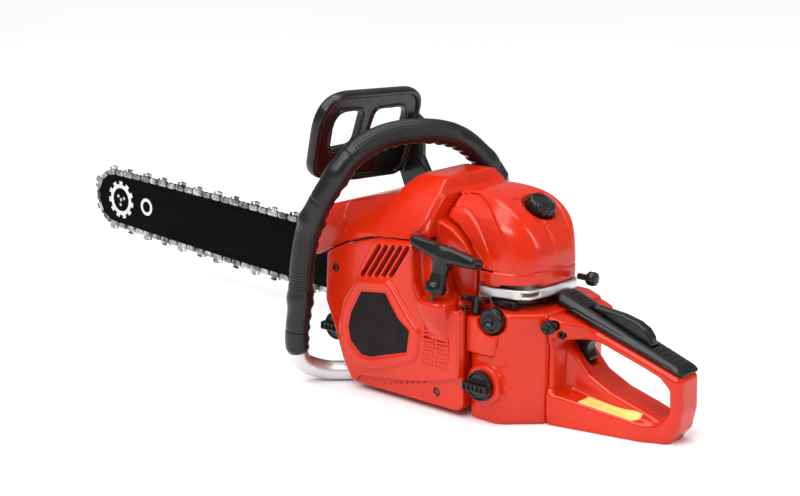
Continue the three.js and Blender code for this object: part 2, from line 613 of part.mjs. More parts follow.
function makeCylinderCover() {
  const wall = 3;
  const rear = PARTING.map(([x, z]) => [x - 0.6, z - 0.6]);
  const top = [[46.4, 212], [36, 224], [6, 223], [-6, 205], [-45, 198], [-98, 183], [-107, 174]];
  const upper = slabY(outline([...SEAM, [40, 170], ...top]), -90, RIGHT_Y);
  const lower = slabY(outline([[-107, 170], [-106, 150], [-52, 168], [-52, 118.6], [92.6, 118.6],
    ...[...rear].reverse(),
    [-60, 196]]), -41.6, RIGHT_Y);
  const skirt = slabY(outline([[37.5, 114], [92.6, 114], ...[...rear].reverse(), [37.5, 187]]), -65.6, -41);
  const outer = common(join(upper, lower, skirt), slabX(coverSection(0), -120, 120));
  const space = join(
    slabY(outline([[-103, 100], [-103, 172], [-96, 180], [-45, 194.5], [-5, 201], [8, 219], [34, 220],
      [43, 209],
      [43, 100]]), -87, RIGHT_Y - wall),
    slabY(outline([[40, 100], [40, 186], [60, 179], [77, 167], [87, 152], [90.5, 142], [90.5, 100]]), -62.6,
      RIGHT_Y - wall),
    block(-120, -54, -41, 40, 90, 171),
  );
  const handleRoom = block(33, 60, -95, -77, 154, 181);
  return cut(outer, common(space, slabX(coverSection(wall), -130, 120)), block(85, 100, -58, 50, 100, 150),
    handleRoom);
}

// ---------------------------------------------------------------- bar, chain and clutch side

const barGroup = new THREE.Group();
barGroup.position.set(0, CHAIN_Y, CRANK_Z);
barGroup.rotation.y = BAR_TILT;
saw.add(barGroup);

// The bar's outline in its own frame, grown by the given amount.
function barOutline(grow) {
  const shape = new THREE.Shape();
  const root = BAR_ROOT_HALF + grow;
  const middle = 2 * BAR_MIDDLE_HALF - (BAR_ROOT_HALF + NOSE_RADIUS) / 2 + grow;
  const tail = 22 + grow;
  shape.moveTo(-BAR_TAIL + grow, tail);
  shape.lineTo(-110, root);
  shape.quadraticCurveTo(-355, middle, -BAR_NOSE, NOSE_RADIUS + grow);
  shape.absarc(-BAR_NOSE, 0, NOSE_RADIUS + grow, Math.PI / 2, 1.5 * Math.PI);
  shape.quadraticCurveTo(-355, -middle, -110, -root);
  shape.lineTo(-BAR_TAIL + grow, -tail);
  return shape;
}

// The chain runs on the bar's rails and round the drive sprocket.
function chainOutline(grow) {
  const shape = new THREE.Shape();
  const root = BAR_ROOT_HALF + grow;
  const middle = 2 * BAR_MIDDLE_HALF - (BAR_ROOT_HALF + NOSE_RADIUS) / 2 + grow;
  const sprocket = SPROCKET_RADIUS + grow;
  shape.moveTo(-4, sprocket);
  shape.lineTo(-110, root);
  shape.quadraticCurveTo(-355, middle, -BAR_NOSE, NOSE_RADIUS + grow);
  shape.absarc(-BAR_NOSE, 0, NOSE_RADIUS + grow, Math.PI / 2, 1.5 * Math.PI);
  shape.quadraticCurveTo(-355, -middle, -110, -root);
  shape.lineTo(-4, -sprocket);
  shape.absarc(0, 0, sprocket, -Math.PI / 2, Math.PI / 2);
  return shape;
}

const NOSE_SPROCKET_RADIUS = 24;

function makeGuideBar() {
  const half = BAR_THICKNESS / 2;
  const plate = slabY(barOutline(0), -half, half, 0, 16);
  const noseSlot = discY(NOSE_SPROCKET_RADIUS + 1, -0.9, 0.9, -BAR_NOSE, 0, 28);
  const noseMouth = block(-BAR_NOSE - 40, -BAR_NOSE, -0.9, 0.9, -24, 24);
  const hub = discY(5, -1, 1, -BAR_NOSE, 0, 16);
  const studSlot = slabY(outline([[-100, -4.4], [-54, -4.4], [-54, 4.4], [-100, 4.4]], 3), -9, 9);
  const oilHole = discY(2, -9, 9, -76, -17, 10);
  return cut(plate, cut(join(noseSlot, noseMouth), hub), studSlot, oilHole);
}

function makeNoseSprocket() {
  const teeth = 11;
  const points = Array.from({ length: teeth * 2 }, (_, i) => {
    const radius = i % 2 ? NOSE_SPROCKET_RADIUS - 4 : NOSE_SPROCKET_RADIUS;
    const angle = i * Math.PI / teeth;
    return [-BAR_NOSE + radius * Math.cos(angle), radius * Math.sin(angle)];
  });
  return cut(slabY(outline(points), -0.6, 0.6), discY(5 + GAP, -9, 9, -BAR_NOSE, 0, 16));
}

// Cutters stand on the chain's outer edge, evenly along both runs and round the nose.
function makeChain() {
  const outer = chainOutline(CHAIN_HEIGHT);
  const inner = chainOutline(GAP);
  const half = CHAIN_WIDTH / 2;
  const band = cut(slabY(outer, -half, half, 0, 14), slabY(inner, -half - 1, half + 1, 0, 14));
  const length = outer.getLength();
  const count = Math.round(length / CUTTER_PITCH);
  const cutters = Array.from({ length: count }, (_, i) => {
    const at = (i + 0.5) / count;
    const point = outer.getPointAt(at);
    const along = outer.getTangentAt(at);
    const rise = CUTTER_HEIGHT - CHAIN_HEIGHT + 2;
    const tooth = new THREE.BoxGeometry(13, CHAIN_WIDTH, rise).translate(0, 0, rise / 2 - 2);
    tooth.rotateY(-Math.atan2(along.y, along.x) + Math.PI);
    return solid(tooth.translate(point.x, 0, point.y));
  });
  return join(band, ...cutters);
}

function makeClutchDrum() {
  const drum = turnY([[SHAFT_RADIUS + GAP, 47], [15, 47], [15, 57], [37, 57], [37, 75], [34.5, 75],
    [34.5, 60],
    [SHAFT_RADIUS + GAP, 60], [SHAFT_RADIUS + GAP, 47]], 0, CRANK_Z, 24);
  const teeth = 7;
  const points = Array.from({ length: teeth * 2 }, (_, i) => {
    const radius = i % 2 ? 14.6 : SPROCKET_RADIUS - 0.6;
    const angle = i * Math.PI / teeth;
    return [radius * Math.cos(angle), CRANK_Z + radius * Math.sin(angle)];
  });
  return join(drum, cut(slabY(outline(points), 48.5, 55.5), discY(13, 40, 60)));
}

function makeClutchHub() {
  const hub = cut(discY(33.8, 61.5, 73), discY(SHAFT_RADIUS + GAP, 50, 90));
  const gaps = [0, 1, 2].map((i) => {
    const slot = new THREE.BoxGeometry(20, 30, 3).translate(28, 67, 0).rotateY(i * 2 * Math.PI / 3);
    return solid(slot.translate(0, 0, CRANK_Z));
  });
  return cut(hub, ...gaps);
}

function makeBrakeBand() {
  const ring = cut(discY(40.4, 60, 73, 0, CRANK_Z, 24), discY(38.6, 50, 80, 0, CRANK_Z, 24));
  return cut(ring, block(-50, -20, 50, 80, CRANK_Z + 4, CRANK_Z + 12));
}

const makeOilPump = () => cut(discY(24, 32 + GAP, 40), discY(SHAFT_RADIUS + 0.6, 20, 60));

function sprocketCoverSide(inset) {
  return outline([
    [-112 + inset, 30 + inset], [-60, 24 + inset], [20, 22 + inset], [44 - inset, 38 + inset],
    [52 - inset, 70], [46 - inset, 100 - inset], [20, 116 - inset], [-30, 128 - inset], [-58, 154 - inset],
    [-96 + inset, 152 - inset], [-118 + inset, 116],
  ], 10);
}

const GUARD_PIVOT = { x: -88, z: 135 };

function makeSprocketCover() {
  const wall = 3.5;
  const shell = cut(slabY(sprocketCoverSide(0), 57, COVER_Y, 4),
    slabY(sprocketCoverSide(wall), 56, COVER_Y - wall - 1));
  const rearWall = cut(
    common(slabY(sprocketCoverSide(0), 34, 58), block(24, 70, 30, 60, 15, 112)),
    slabY(sprocketCoverSide(wall), 30, 60),
  );
  const clampPad = slabY(outline([[-106, 56], [-46, 54], [-46, 92], [-106, 94]], 4), 54.5, COVER_Y - 2);
  const studHoles = STUD_X.map((x) => discY(4 + GAP, 50, 90, x, CRANK_Z - x * Math.tan(BAR_TILT), 12));
  const guardSlot = block(-125, -66, 50, 75, 116, 170);
  return cut(join(shell, rearWall, clampPad), ...studHoles, guardSlot);
}

const makeBarStud = (x) => discY(4, 37, 91, x, CRANK_Z - x * Math.tan(BAR_TILT), 12);

function makeBarNut(x) {
  const z = CRANK_Z - x * Math.tan(BAR_TILT);
  return cut(discY(8, COVER_Y + GAP, COVER_Y + 8, x, z, 6), discY(4 + GAP, 80, 100, x, z, 12));
}

function makeSpikedBumper() {
  const plate = outline([[-119, 44], [-119, 96], [-134, 102], [-124, 90], [-136, 84], [-125, 74], [-136, 66],
    [-125, 56], [-132, 44]]);
  const bracket = block(-122, -118.3, 34, 45, 50, 74);
  return join(slabY(plate, 41, 45), bracket);
}

const makeChainCatcher = () => join(block(-72, -52, 33, 58, 10, 18), block(-72, -52, 33, 40, 6, 18));

// ---------------------------------------------------------------- handles and hand guard

const FRONT_LOOP = [
  [-50, -52, 10.5], [-66, -70, 11], [-86, -90, 12], [-99, -110, 23], [-99, -118, 44], [-94, -118.5, 85],
    [-87, -118.5, 140],
  [-76, -118, 176], [-56, -113, 212], [-40, -94, 245], [-28, -62, 260], [-10, -25, 263], [2, 14, 253],
  [7, 46, 230], [12, 68, 203], [24, 80, 170], [48, 84, 142], [74, 80, 118], [90, 74, 100],
];

const frontCurve = new THREE.CatmullRomCurve3(FRONT_LOOP.map((point) => new THREE.Vector3(...point)), false,
  'centripetal');

// Part of the front handle's centre line, between two fractions of its length.
function handlePoints(from, to, count) {
  return Array.from({ length: count }, (_, i) => frontCurve.getPointAt(from + (to - from) * i / (count -
    1)).toArray());
}

const GRIP_START = 0.145;
const GRIP_END = 0.80;

function makeHandleTube() {
  return sweep(handlePoints(0.03, 1, 30), HANDLE_RADIUS, 32, 8);
}

function makeHandleGrip() {
  const sleeve = sweep(handlePoints(GRIP_START, GRIP_END, 26), GRIP_RADIUS, 26, 8);
  const bore = sweep(handlePoints(0.03, 1, 30), HANDLE_RADIUS + 2 * GAP, 32, 8);
  return cut(sleeve, bore);
}

const guardGroup = new THREE.Group();
guardGroup.position.set(GUARD_PIVOT.x, 0, GUARD_PIVOT.z);
guardGroup.rotation.y = THREE.MathUtils.degToRad(20);
saw.add(guardGroup);

function makeHandGuard() {
  const frame = outline([[-66, 59], [-82, 72], [-89, 90], [-96, 133], [-86, 145], [-56, 155], [29, 149],
    [47, 145], [61, 132], [62, 44], [-17, 49]], 8, 3);
  const left = outline([[-66, 92], [-70, 122], [-56, 135], [-29, 132], [-28, 92]], 6);
  const right = outline([[-12, 92], [-10, 131], [18, 129], [36, 119], [42, 106], [42, 92]], 6);
  const panel = cut(slabX(frame, -57, -45), slabX(left, -70, -30), slabX(right, -70, -30));
  const arm = slabY(outline([[-14, -10], [9, -10], [12, 4], [-5, 60], [-25, 76], [-40, 122], [-46, 140],
    [-57, 146],
    [-57, 56], [-41, 38], [-14, 10]], 5), 58, 68);
  const eye = discY(12, 58, 73, 0, 0);
  return cut(join(panel, arm, eye), discY(3 + GAP, 50, 90, 0, 0, 12));
}

const makeGuardPin = () => discY(3, 57.4, 79.2, GUARD_PIVOT.x, GUARD_PIVOT.z, 12);

// ---------------------------------------------------------------- starter handle

const PULL = new THREE.Vector3(0.14, 0.26, 0.955).normalize();
const handleGroup = new THREE.Group();
handleGroup.position.set(71.3, -104.5, 118);
const acrossPull = new THREE.Vector3(1, 0, -0.15).projectOnPlane(PULL).normalize();
handleGroup.quaternion.setFromRotationMatrix(
  new THREE.Matrix4().makeBasis(acrossPull, new THREE.Vector3().crossVectors(PULL, acrossPull), PULL));
saw.add(handleGroup);

function makeStarterHandle() {
  const stem = turnZ([[0, 0], [10, 0], [10.5, 8], [8, 16], [8, 34], [11, 46], [0, 46]], 0, 0, 18);
  const bar = slabY(outline([[-41, 44], [-10, 40], [10, 40], [41, 44], [41, 56], [-41, 56]], 5), -8.5, 8.5,
    2.5);
  const knotHole = discZ(3.5, 50, 60, 0, 0, 12);
  return cut(join(stem, bar), knotHole);
}

// ---------------------------------------------------------------- the whole saw

add('crankcase', makeCrankcase(), RED);
add('bearing_left', makeBearing(LEFT_CHAMBER_Y - BEARING_WIDTH + GAP), STEEL);
add('bearing_right', makeBearing(RIGHT_CHAMBER_Y), STEEL);
add('crank_half_left', makeCrankHalf(-1), DARK_STEEL);
add('crank_half_right', makeCrankHalf(1), DARK_STEEL);
add('crank_pin', makeCrankPin(), STEEL);
add('connecting_rod', makeConnectingRod(), DARK_STEEL);
add('wrist_pin', discY(5, ENGINE_Y - 17, ENGINE_Y + 17, 0, WRIST_Z, 16), STEEL);
add('piston', makePiston(), ALUMINIUM);
add('cylinder', makeCylinder(), ALUMINIUM);
add('spark_plug', makeSparkPlug(), CERAMIC);
add('plug_boot', makePlugBoot(), RUBBER);
add('muffler', makeMuffler(), DARK_STEEL);
add('flywheel', makeFlywheel(), ALUMINIUM);
add('ignition_coil', makeIgnitionCoil(), BLACK);
add('starter_housing', makeStarterHousing(), RED);
add('starter_pulley', makeStarterPulley(), BLACK);
add('recoil_spring', makeRecoilSpring(), STEEL);
add('starter_rope', makeStarterRope(), ROPE);
add('starter_handle', makeStarterHandle(), BLACK, handleGroup);
add('fuel_tank', makeFuelTank(), RED);
add('fuel_cap', makeFuelCap(), BLACK);
add('oil_cap', makeOilCap(), BLACK);
add('rear_handle', makeRearHandle(), RED);
add('handle_cover', makeHandleCover(), BLACK);
add('throttle_trigger', makeTrigger(), BLACK);
add('trigger_pin', makeTriggerPin(), STEEL);
add('throttle_lockout', makeLockout(), BLACK);
add('latch_button', makeLatchButton(), BLACK);
add('throttle_rod', makeThrottleRod(), STEEL);
add('air_box_base', makeAirBoxBase(), ALUMINIUM);
add('air_filter', makeAirFilter(), FILTER);
add('air_filter_cover', makeFilterCover(), RED);
add('carburettor', makeCarburettor(), ALUMINIUM);
add('intake_boot', makeIntakeBoot(), RUBBER);
add('choke_knob', makeChokeKnob(), BLACK);
add('stop_switch', makeStopSwitch(), BLACK);
add('cylinder_cover', makeCylinderCover(), RED);
add('guide_bar', makeGuideBar(), BAR_BLACK, barGroup);
add('nose_sprocket', makeNoseSprocket(), STEEL, barGroup);
add('chain', makeChain(), STEEL, barGroup);
add('clutch_drum', makeClutchDrum(), DARK_STEEL);
add('clutch_hub', makeClutchHub(), DARK_STEEL);
add('brake_band', makeBrakeBand(), STEEL);
add('oil_pump', makeOilPump(), ALUMINIUM);
add('sprocket_cover', makeSprocketCover(), RED);
add('spiked_bumper', makeSpikedBumper(), STEEL);
add('chain_catcher', makeChainCatcher(), ALUMINIUM);
['front', 'rear'].forEach((place, i) => {
  add(`bar_stud_${place}`, makeBarStud(STUD_X[1 - i]), STEEL);
  add(`bar_nut_${place}`, makeBarNut(STUD_X[1 - i]), STEEL);
});
add('front_handle_tube', makeHandleTube(), ALUMINIUM);
add('front_handle_grip', makeHandleGrip(), RUBBER);
add('hand_guard', makeHandGuard(), BLACK, guardGroup);
add('guard_pin', makeGuardPin(), STEEL);

const knobGroup = new THREE.Group();
knobGroup.position.set(KNOB.x, 0, KNOB.z);
knobGroup.rotation.y = KNOB.lean;
saw.add(knobGroup);
add('filter_knob', makeFilterKnob(), BLACK, knobGroup);

const mountProfile = [[0, -84], [11, -84], [12.5, -82], [12.5, -72], [0, -72]];
add('left_mount', turnY(mountProfile, LEFT_MOUNT.x, LEFT_MOUNT.z, 24), RUBBER);

export default saw;
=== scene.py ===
import math

import bmesh
import bpy
import numpy as np
from mathutils import Matrix, Vector
from mathutils.bvhtree import BVHTree


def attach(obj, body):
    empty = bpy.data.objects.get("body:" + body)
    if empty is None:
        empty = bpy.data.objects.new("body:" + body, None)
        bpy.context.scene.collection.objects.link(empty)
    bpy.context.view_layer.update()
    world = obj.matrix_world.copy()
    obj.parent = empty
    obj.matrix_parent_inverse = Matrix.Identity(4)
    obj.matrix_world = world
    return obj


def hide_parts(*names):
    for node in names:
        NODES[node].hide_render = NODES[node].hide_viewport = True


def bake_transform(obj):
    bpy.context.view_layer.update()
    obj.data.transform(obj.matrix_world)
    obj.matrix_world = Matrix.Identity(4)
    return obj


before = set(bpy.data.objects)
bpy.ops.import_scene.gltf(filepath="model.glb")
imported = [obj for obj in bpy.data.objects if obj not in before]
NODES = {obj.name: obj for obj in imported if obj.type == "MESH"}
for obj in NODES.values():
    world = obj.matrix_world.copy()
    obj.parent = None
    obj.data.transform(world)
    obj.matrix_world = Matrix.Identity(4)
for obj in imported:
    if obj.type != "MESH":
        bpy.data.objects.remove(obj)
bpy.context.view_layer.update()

MM = 0.001
UP = Vector((0, 0, 1))
CURVE_STEPS = 40
BEZIER_POINTS = 12
CAPSULE_STEPS = 6


# ---- outlines and paths, in millimetres

def fillet(corners, radius, segments=5):
    """A closed outline with its corners rounded, all by one radius or each by its own."""
    radii = radius if isinstance(radius, list) else [radius] * len(corners)
    points = []
    for i, here in enumerate(corners):
        a = Vector(corners[i - 1]) - Vector(here)
        b = Vector(corners[(i + 1) % len(corners)]) - Vector(here)
        half = a.angle(b) / 2
        reach = min(radii[i] / math.tan(half), 0.49 * a.length, 0.49 * b.length)
        start = Vector(here) + a.normalized() * reach
        end = Vector(here) + b.normalized() * reach
        for k in range(segments + 1):
            t = k / segments
            point = start * (1 - t) ** 2 + Vector(here) * 2 * t * (1 - t) + end * t * t
            points.append(tuple(point))
    return points


def blend(p, q, start, end, t):
    """The point at t on the line that is at p at the start and at q at the end."""
    return p * ((end - t) / (end - start)) + q * ((t - start) / (end - start))


def curve_through(points, spacing):
    """Evenly spaced points on a centripetal Catmull-Rom curve."""
    points = [Vector(p) for p in points]
    ends = [2 * points[0] - points[1], *points, 2 * points[-1] - points[-2]]
    fine = []
    for p0, p1, p2, p3 in zip(ends, ends[1:], ends[2:], ends[3:]):
        t1 = (p1 - p0).length ** 0.5
        t2 = t1 + (p2 - p1).length ** 0.5
        t3 = t2 + (p3 - p2).length ** 0.5
        for k in range(CURVE_STEPS):
            t = t1 + (t2 - t1) * k / CURVE_STEPS
            a1, a2, a3 = blend(p0, p1, 0, t1, t), blend(p1, p2, t1, t2, t), blend(p2, p3, t2, t3, t)
            fine.append(blend(blend(a1, a2, 0, t2, t), blend(a2, a3, t1, t3, t), t1, t2, t))
    fine.append(points[-1])
    return respaced(fine, spacing)


def respaced(fine, spacing):
    """The same line with its points evenly spaced."""
    line = np.array([list(p) for p in fine], float)
    run = np.concatenate([[0], np.cumsum(np.linalg.norm(np.diff(line, axis=0), axis=1))])
    count = max(2, round(run[-1] / spacing) + 1)
    at = np.linspace(0, run[-1], count)
    return np.stack([np.interp(at, run, line[:, i]) for i in range(line.shape[1])], axis=1)


def bezier(p0, p1, p2, p3):
    """Points on a cubic curve."""
    t = np.linspace(0, 1, BEZIER_POINTS)[:, None]
    corners = [np.array(p, float) for p in (p0, p1, p2, p3)]
    weights = ((1 - t) ** 3, 3 * t * (1 - t) ** 2, 3 * t * t * (1 - t), t ** 3)
    line = sum(w * c for w, c in zip(weights, corners))
    return [tuple(p) for p in line]


# ---- distance fields, in millimetres

def join(a, b, soft=0.0):
    """Either solid, with a fillet of about the given size where they meet."""
    if soft <= 0:
        return np.minimum(a, b)
    h = np.clip(0.5 + 0.5 * (b - a) / soft, 0, 1)
    return b + (a - b) * h - soft * h * (1 - h)


def both(a, b, soft=0.0):
    """What the two solids share."""
    return -join(-a, -b, soft)


def cut(a, b, soft=0.0):
    """The first solid without the second."""
    return -join(-a, b, soft)


def engrave(body, region, depth):
    """Sinks the surface by depth where it meets the region."""
    return cut(body, np.maximum(region, -(body + depth)))


def outline_distance(points, u, v):
    """Signed distance in a plane to a closed outline."""
    best = np.full(np.broadcast(u, v).shape, 1e12, np.float32)
    inside = np.zeros(best.shape, bool)
    for (u0, v0), (u1, v1) in zip(points, points[1:] + points[:1]):
        du, dv = u1 - u0, v1 - v0
        size = du * du + dv * dv
        if size < 1e-9:
            continue
        t = np.clip(((u - u0) * du + (v - v0) * dv) / size, 0, 1)
        best = np.minimum(best, (u - u0 - t * du) ** 2 + (v - v0 - t * dv) ** 2)
        if abs(dv) > 1e-9:
            inside ^= ((v0 <= v) != (v1 <= v)) & (u < u0 + (v - v0) * du / dv)
    return np.where(inside, -1, 1).astype(np.float32) * np.sqrt(best)


class Space:
    """A grid of points in a box. Its methods give the distance from each point to a shape."""

    def __init__(self, low, high, step):
        self.low, self.step = np.array(low, float), step
        x, y, z = (np.arange(a, b + step, step, dtype=np.float32) for a, b in zip(low, high))
        self.x, self.y, self.z = x[:, None, None], y[None, :, None], z[None, None, :]

    @staticmethod
    def _slab(plane, across, low, high, edge):
        """An outline's distance carried between two heights, with rounded edges."""
        depth = np.abs(across - (low + high) / 2) - (high - low) / 2
        a, b = plane + edge, depth + edge
        return np.minimum(np.maximum(a, b), 0) + np.hypot(np.maximum(a, 0), np.maximum(b, 0)) - edge

    def prism_y(self, points, y0, y1, edge=0.0):
        """An outline in XZ, carried along Y."""
        plane = outline_distance(points, self.x[:, :, 0], self.z[0])[:, None, :]
        return self._slab(plane, self.y, y0, y1, edge)

    def prism_x(self, points, x0, x1, edge=0.0):
        """An outline in YZ, carried along X."""
        plane = outline_distance(points, self.y[0], self.z[0])[None, :, :]
        return self._slab(plane, self.x, x0, x1, edge)

    def prism_z(self, points, z0, z1, edge=0.0):
        """An outline in XY, carried along Z."""
        plane = outline_distance(points, self.x[:, :, 0], self.y[0].T)[:, :, None]
        return self._slab(plane, self.z, z0, z1, edge)

    def box(self, low, high, edge=0.0):
        """A box between two corners."""
        sides = zip((self.x, self.y, self.z), low, high)
        d = [np.abs(a - (p + q) / 2) - (q - p) / 2 + edge for a, p, q in sides]
        outer = np.sqrt(sum(np.maximum(a, 0) ** 2 for a in d))
        return outer + np.minimum(np.maximum(np.maximum(d[0], d[1]), d[2]), 0) - edge

    def disc_y(self, radius, y0, y1, x, z, edge=0.0):
        """A disc round an axis along Y."""
        return self._slab(np.hypot(self.x - x, self.z - z) - radius, self.y, y0, y1, edge)

    def disc_z(self, radius, z0, z1, x, y, edge=0.0):
        """A disc round an axis along Z."""
        return self._slab(np.hypot(self.x - x, self.y - y) - radius, self.z, z0, z1, edge)

    def disc_on(self, seat, axis, radius, low, high, edge=0.0):
        """A disc on any axis, between two heights above its seat."""
        w = Vector(axis).normalized()
        rel = [self.x - seat[0], self.y - seat[1], self.z - seat[2]]
        along = sum(r * c for r, c in zip(rel, w))
        away = np.sqrt(np.maximum(sum(r * r for r in rel) - along ** 2, 0)) - radius
        return self._slab(away, along, low, high, edge)

    def rod(self, a, b, ra, rb=None):
        """A rod between two points, whose radius may change along it."""
        rb = ra if rb is None else rb
        d = [q - p for p, q in zip(a, b)]
        rel = [self.x - a[0], self.y - a[1], self.z - a[2]]
        t = np.clip(sum(r * c for r, c in zip(rel, d)) / sum(c * c for c in d), 0, 1)
        return np.sqrt(sum((r - t * c) ** 2 for r, c in zip(rel, d))) - (ra + (rb - ra) * t)

    def trail(self, points, radius):
        """A rod along several points."""
        parts = [self.rod(a, b, radius) for a, b in zip(points, points[1:])]
        return np.minimum.reduce(np.broadcast_arrays(*parts))

    def mesh(self, name, values, smooth=2):
        """The surface where the distance is zero, as a mesh object in metres."""
        shape = (self.x.size, self.y.size, self.z.size)
        values = np.broadcast_to(values, shape).astype(np.float32)
        values = np.pad(values, 1, constant_values=self.step)
        points, faces = net(values)
        for _ in range(smooth):
            points = relaxed(points, faces)
        points = (self.low + (points - 1) * self.step) * MM
        return mesh_object(name, points, faces)


def net(values):
    """Surface nets: a point in each cell that the surface crosses, a face across each crossed edge."""
    inside = values < 0
    cells = tuple(n - 1 for n in values.shape)
    weights, corners = [], []
    quads = []
    strides = np.array([cells[1] * cells[2], cells[2], 1])
    for axis in range(3):
        low = tuple(slice(0, -1) if i == axis else slice(None) for i in range(3))
        high = tuple(slice(1, None) if i == axis else slice(None) for i in range(3))
        at = np.argwhere(inside[low] != inside[high])
        f0 = values[low][tuple(at.T)]
        f1 = values[high][tuple(at.T)]
        point = at.astype(np.float64)
        point[:, axis] += f0 / (f0 - f1)
        one, two = [i for i in range(3) if i != axis]
        around = []
        for a, b in ((0, 0), (-1, 0), (-1, -1), (0, -1)):
            cell = at.copy()
            cell[:, one] += a
            cell[:, two] += b
            around.append(cell @ strides)
            corners.append(cell @ strides)
            weights.append(point)
        quad = np.stack(around, axis=1)
        flip = (f0 < 0) == (axis == 1)
        quad[flip] = quad[flip][:, ::-1]
        quads.append(quad)
    corners, weights, quads = np.concatenate(corners), np.concatenate(weights), np.concatenate(quads)
    used, index = np.unique(corners, return_inverse=True)
    total = np.bincount(index).astype(float)
    points = np.stack([np.bincount(index, weights[:, i]) for i in range(3)], axis=1) / total[:, None]
    return points, np.searchsorted(used, quads)


def relaxed(points, faces):
    """Each point moved halfway to the middle of its neighbours."""
    a = faces.ravel()
    b = np.roll(faces, -1, axis=1).ravel()
    ends = np.concatenate([a, b])
    others = np.concatenate([b, a])
    count = np.bincount(ends, minlength=len(points))[:, None]
    mean = np.stack([np.bincount(ends, points[others, i], len(points)) for i in range(3)], axis=1) / count
    return points * 0.5 + mean * 0.5


def mesh_object(name, points, faces):
    """A smooth-shaded object from arrays of points and four-cornered faces."""
    mesh = bpy.data.meshes.new(name)
    mesh.vertices.add(len(points))
    mesh.vertices.foreach_set("co", np.asarray(points, np.float32).ravel())
    mesh.loops.add(faces.size)
    mesh.loops.foreach_set("vertex_index", faces.ravel().astype(np.int32))
    mesh.polygons.add(len(faces))
    mesh.polygons.foreach_set("loop_start", np.arange(0, faces.size, faces.shape[1], dtype=np.int32))
    mesh.update(calc_edges=True)
    mesh.validate()
    mesh.shade_smooth()
    piece = bpy.data.objects.new(name, mesh)
    bpy.context.scene.collection.objects.link(piece)
    return piece


# ---- materials

class Finish:
    """A procedural material, built node by node round one Principled shader."""

    def __init__(self, name, **shader):
        self.material = bpy.data.materials.new(name)
        self.material.use_nodes = True
        self.tree = self.material.node_tree
        self.shader = self.tree.nodes["Principled BSDF"]
        for key, value in shader.items():
            self.shader.inputs[key.replace("_", " ")].default_value = value
        self.place = self.tree.nodes.new("ShaderNodeTexCoord").outputs["Object"]

    def node(self, kind, **values):
        """A new shader node with some of its inputs or settings filled in."""
        made = self.tree.nodes.new("ShaderNode" + kind)
        for key, value in values.items():
            if key in made.inputs:
                made.inputs[key].default_value = value
            else:
                setattr(made, key, value)
        return made

    def link(self, a, b):
        """Joins an output to an input."""
        self.tree.links.new(a, b)

    def noise(self, scale, detail=4.0, stretch=(1, 1, 1)):
        """Noise over the object, stretched along an axis where a number is small."""
        mapping = self.node("Mapping")
        mapping.inputs["Scale"].default_value = stretch
        self.link(self.place, mapping.inputs["Vector"])
        made = self.node("TexNoise", Scale=scale, Detail=detail)
        self.link(mapping.outputs["Vector"], made.inputs["Vector"])
        return made.outputs["Fac"]

    def ramp(self, factor, low, high, start=0.35, end=0.65):
        """Maps a factor to a range of colours or grey values."""
        made = self.node("ValToRGB")
        for element, position, value in zip(made.color_ramp.elements, (start, end), (low, high)):
            element.position = position
            element.color = (value, value, value, 1) if isinstance(value, float) else (*value, 1)
        self.link(factor, made.inputs["Fac"])
        return made.outputs["Color"]

    def tint(self, factor, low, high, start=0.35, end=0.65):
        """Lets a factor run the base colour from one value to another."""
        self.link(self.ramp(factor, low, high, start, end), self.shader.inputs["Base Color"])
        return self

    def gloss(self, factor, low, high):
        """Lets a factor run the roughness from one value to another."""
        self.link(self.ramp(factor, low, high), self.shader.inputs["Roughness"])
        return self

    def bump(self, height, distance):
        """Raises the surface by a height, up to a distance in metres."""
        made = self.node("Bump", Distance=distance, Strength=1.0)
        self.link(height, made.inputs["Height"])
        self.link(made.outputs["Normal"], self.shader.inputs["Normal"])
        return self


def layered(name, colour, sheen, relief, **shader):
    """A material from three layers of noise, each noise given as scale, detail and stretch.

    Colour and sheen run from a low to a high value with their noise; relief has a depth in metres.
    """
    f = Finish(name, **shader)
    f.tint(f.noise(*colour[0]), *colour[1:])
    f.gloss(f.noise(*sheen[0]), *sheen[1:])
    f.bump(f.noise(*relief[0]), relief[1])
    return f.material


def steel(name, low, high, rough=(0.22, 0.36)):
    """Ground steel with fine marks along its length."""
    return layered(name, ((70, 5), low, high), ((260, 4, (0.1, 1, 1)), *rough),
                   ((900, 2, (0.08, 1, 1)), 0.00003), Metallic=1.0)


def aluminium(name, colour, rough, grain, stretch=(1, 1, 1)):
    """Cast or drawn aluminium; grain is how deep its surface is marked."""
    return layered(name, ((40, 5), tuple(0.9 * c for c in colour), colour), ((120, 5, stretch), *rough),
                   ((700, 3, stretch), grain), Metallic=1.0)


def printed(name, low, high, rough=(0.3, 0.45)):
    """A print or film lying on another surface."""
    return layered(name, ((50, 4), low, high), ((150, 4), *rough), ((800, 2), 0.00002),
                   Specular_IOR_Level=0.1)


def cord_braid():
    """Braided nylon: a lattice of strands round the rope."""
    f = Finish("cord_braid", Sheen_Weight=0.2)
    wave = f.node("TexWave", Scale=420.0, Distortion=1.0, bands_direction="DIAGONAL")
    f.link(f.place, wave.inputs["Vector"])
    f.tint(wave.outputs["Fac"], (0.02, 0.02, 0.022), (0.10, 0.10, 0.11))
    f.gloss(f.noise(300, 4), 0.6, 0.85)
    f.bump(wave.outputs["Fac"], 0.0003)
    return f.material


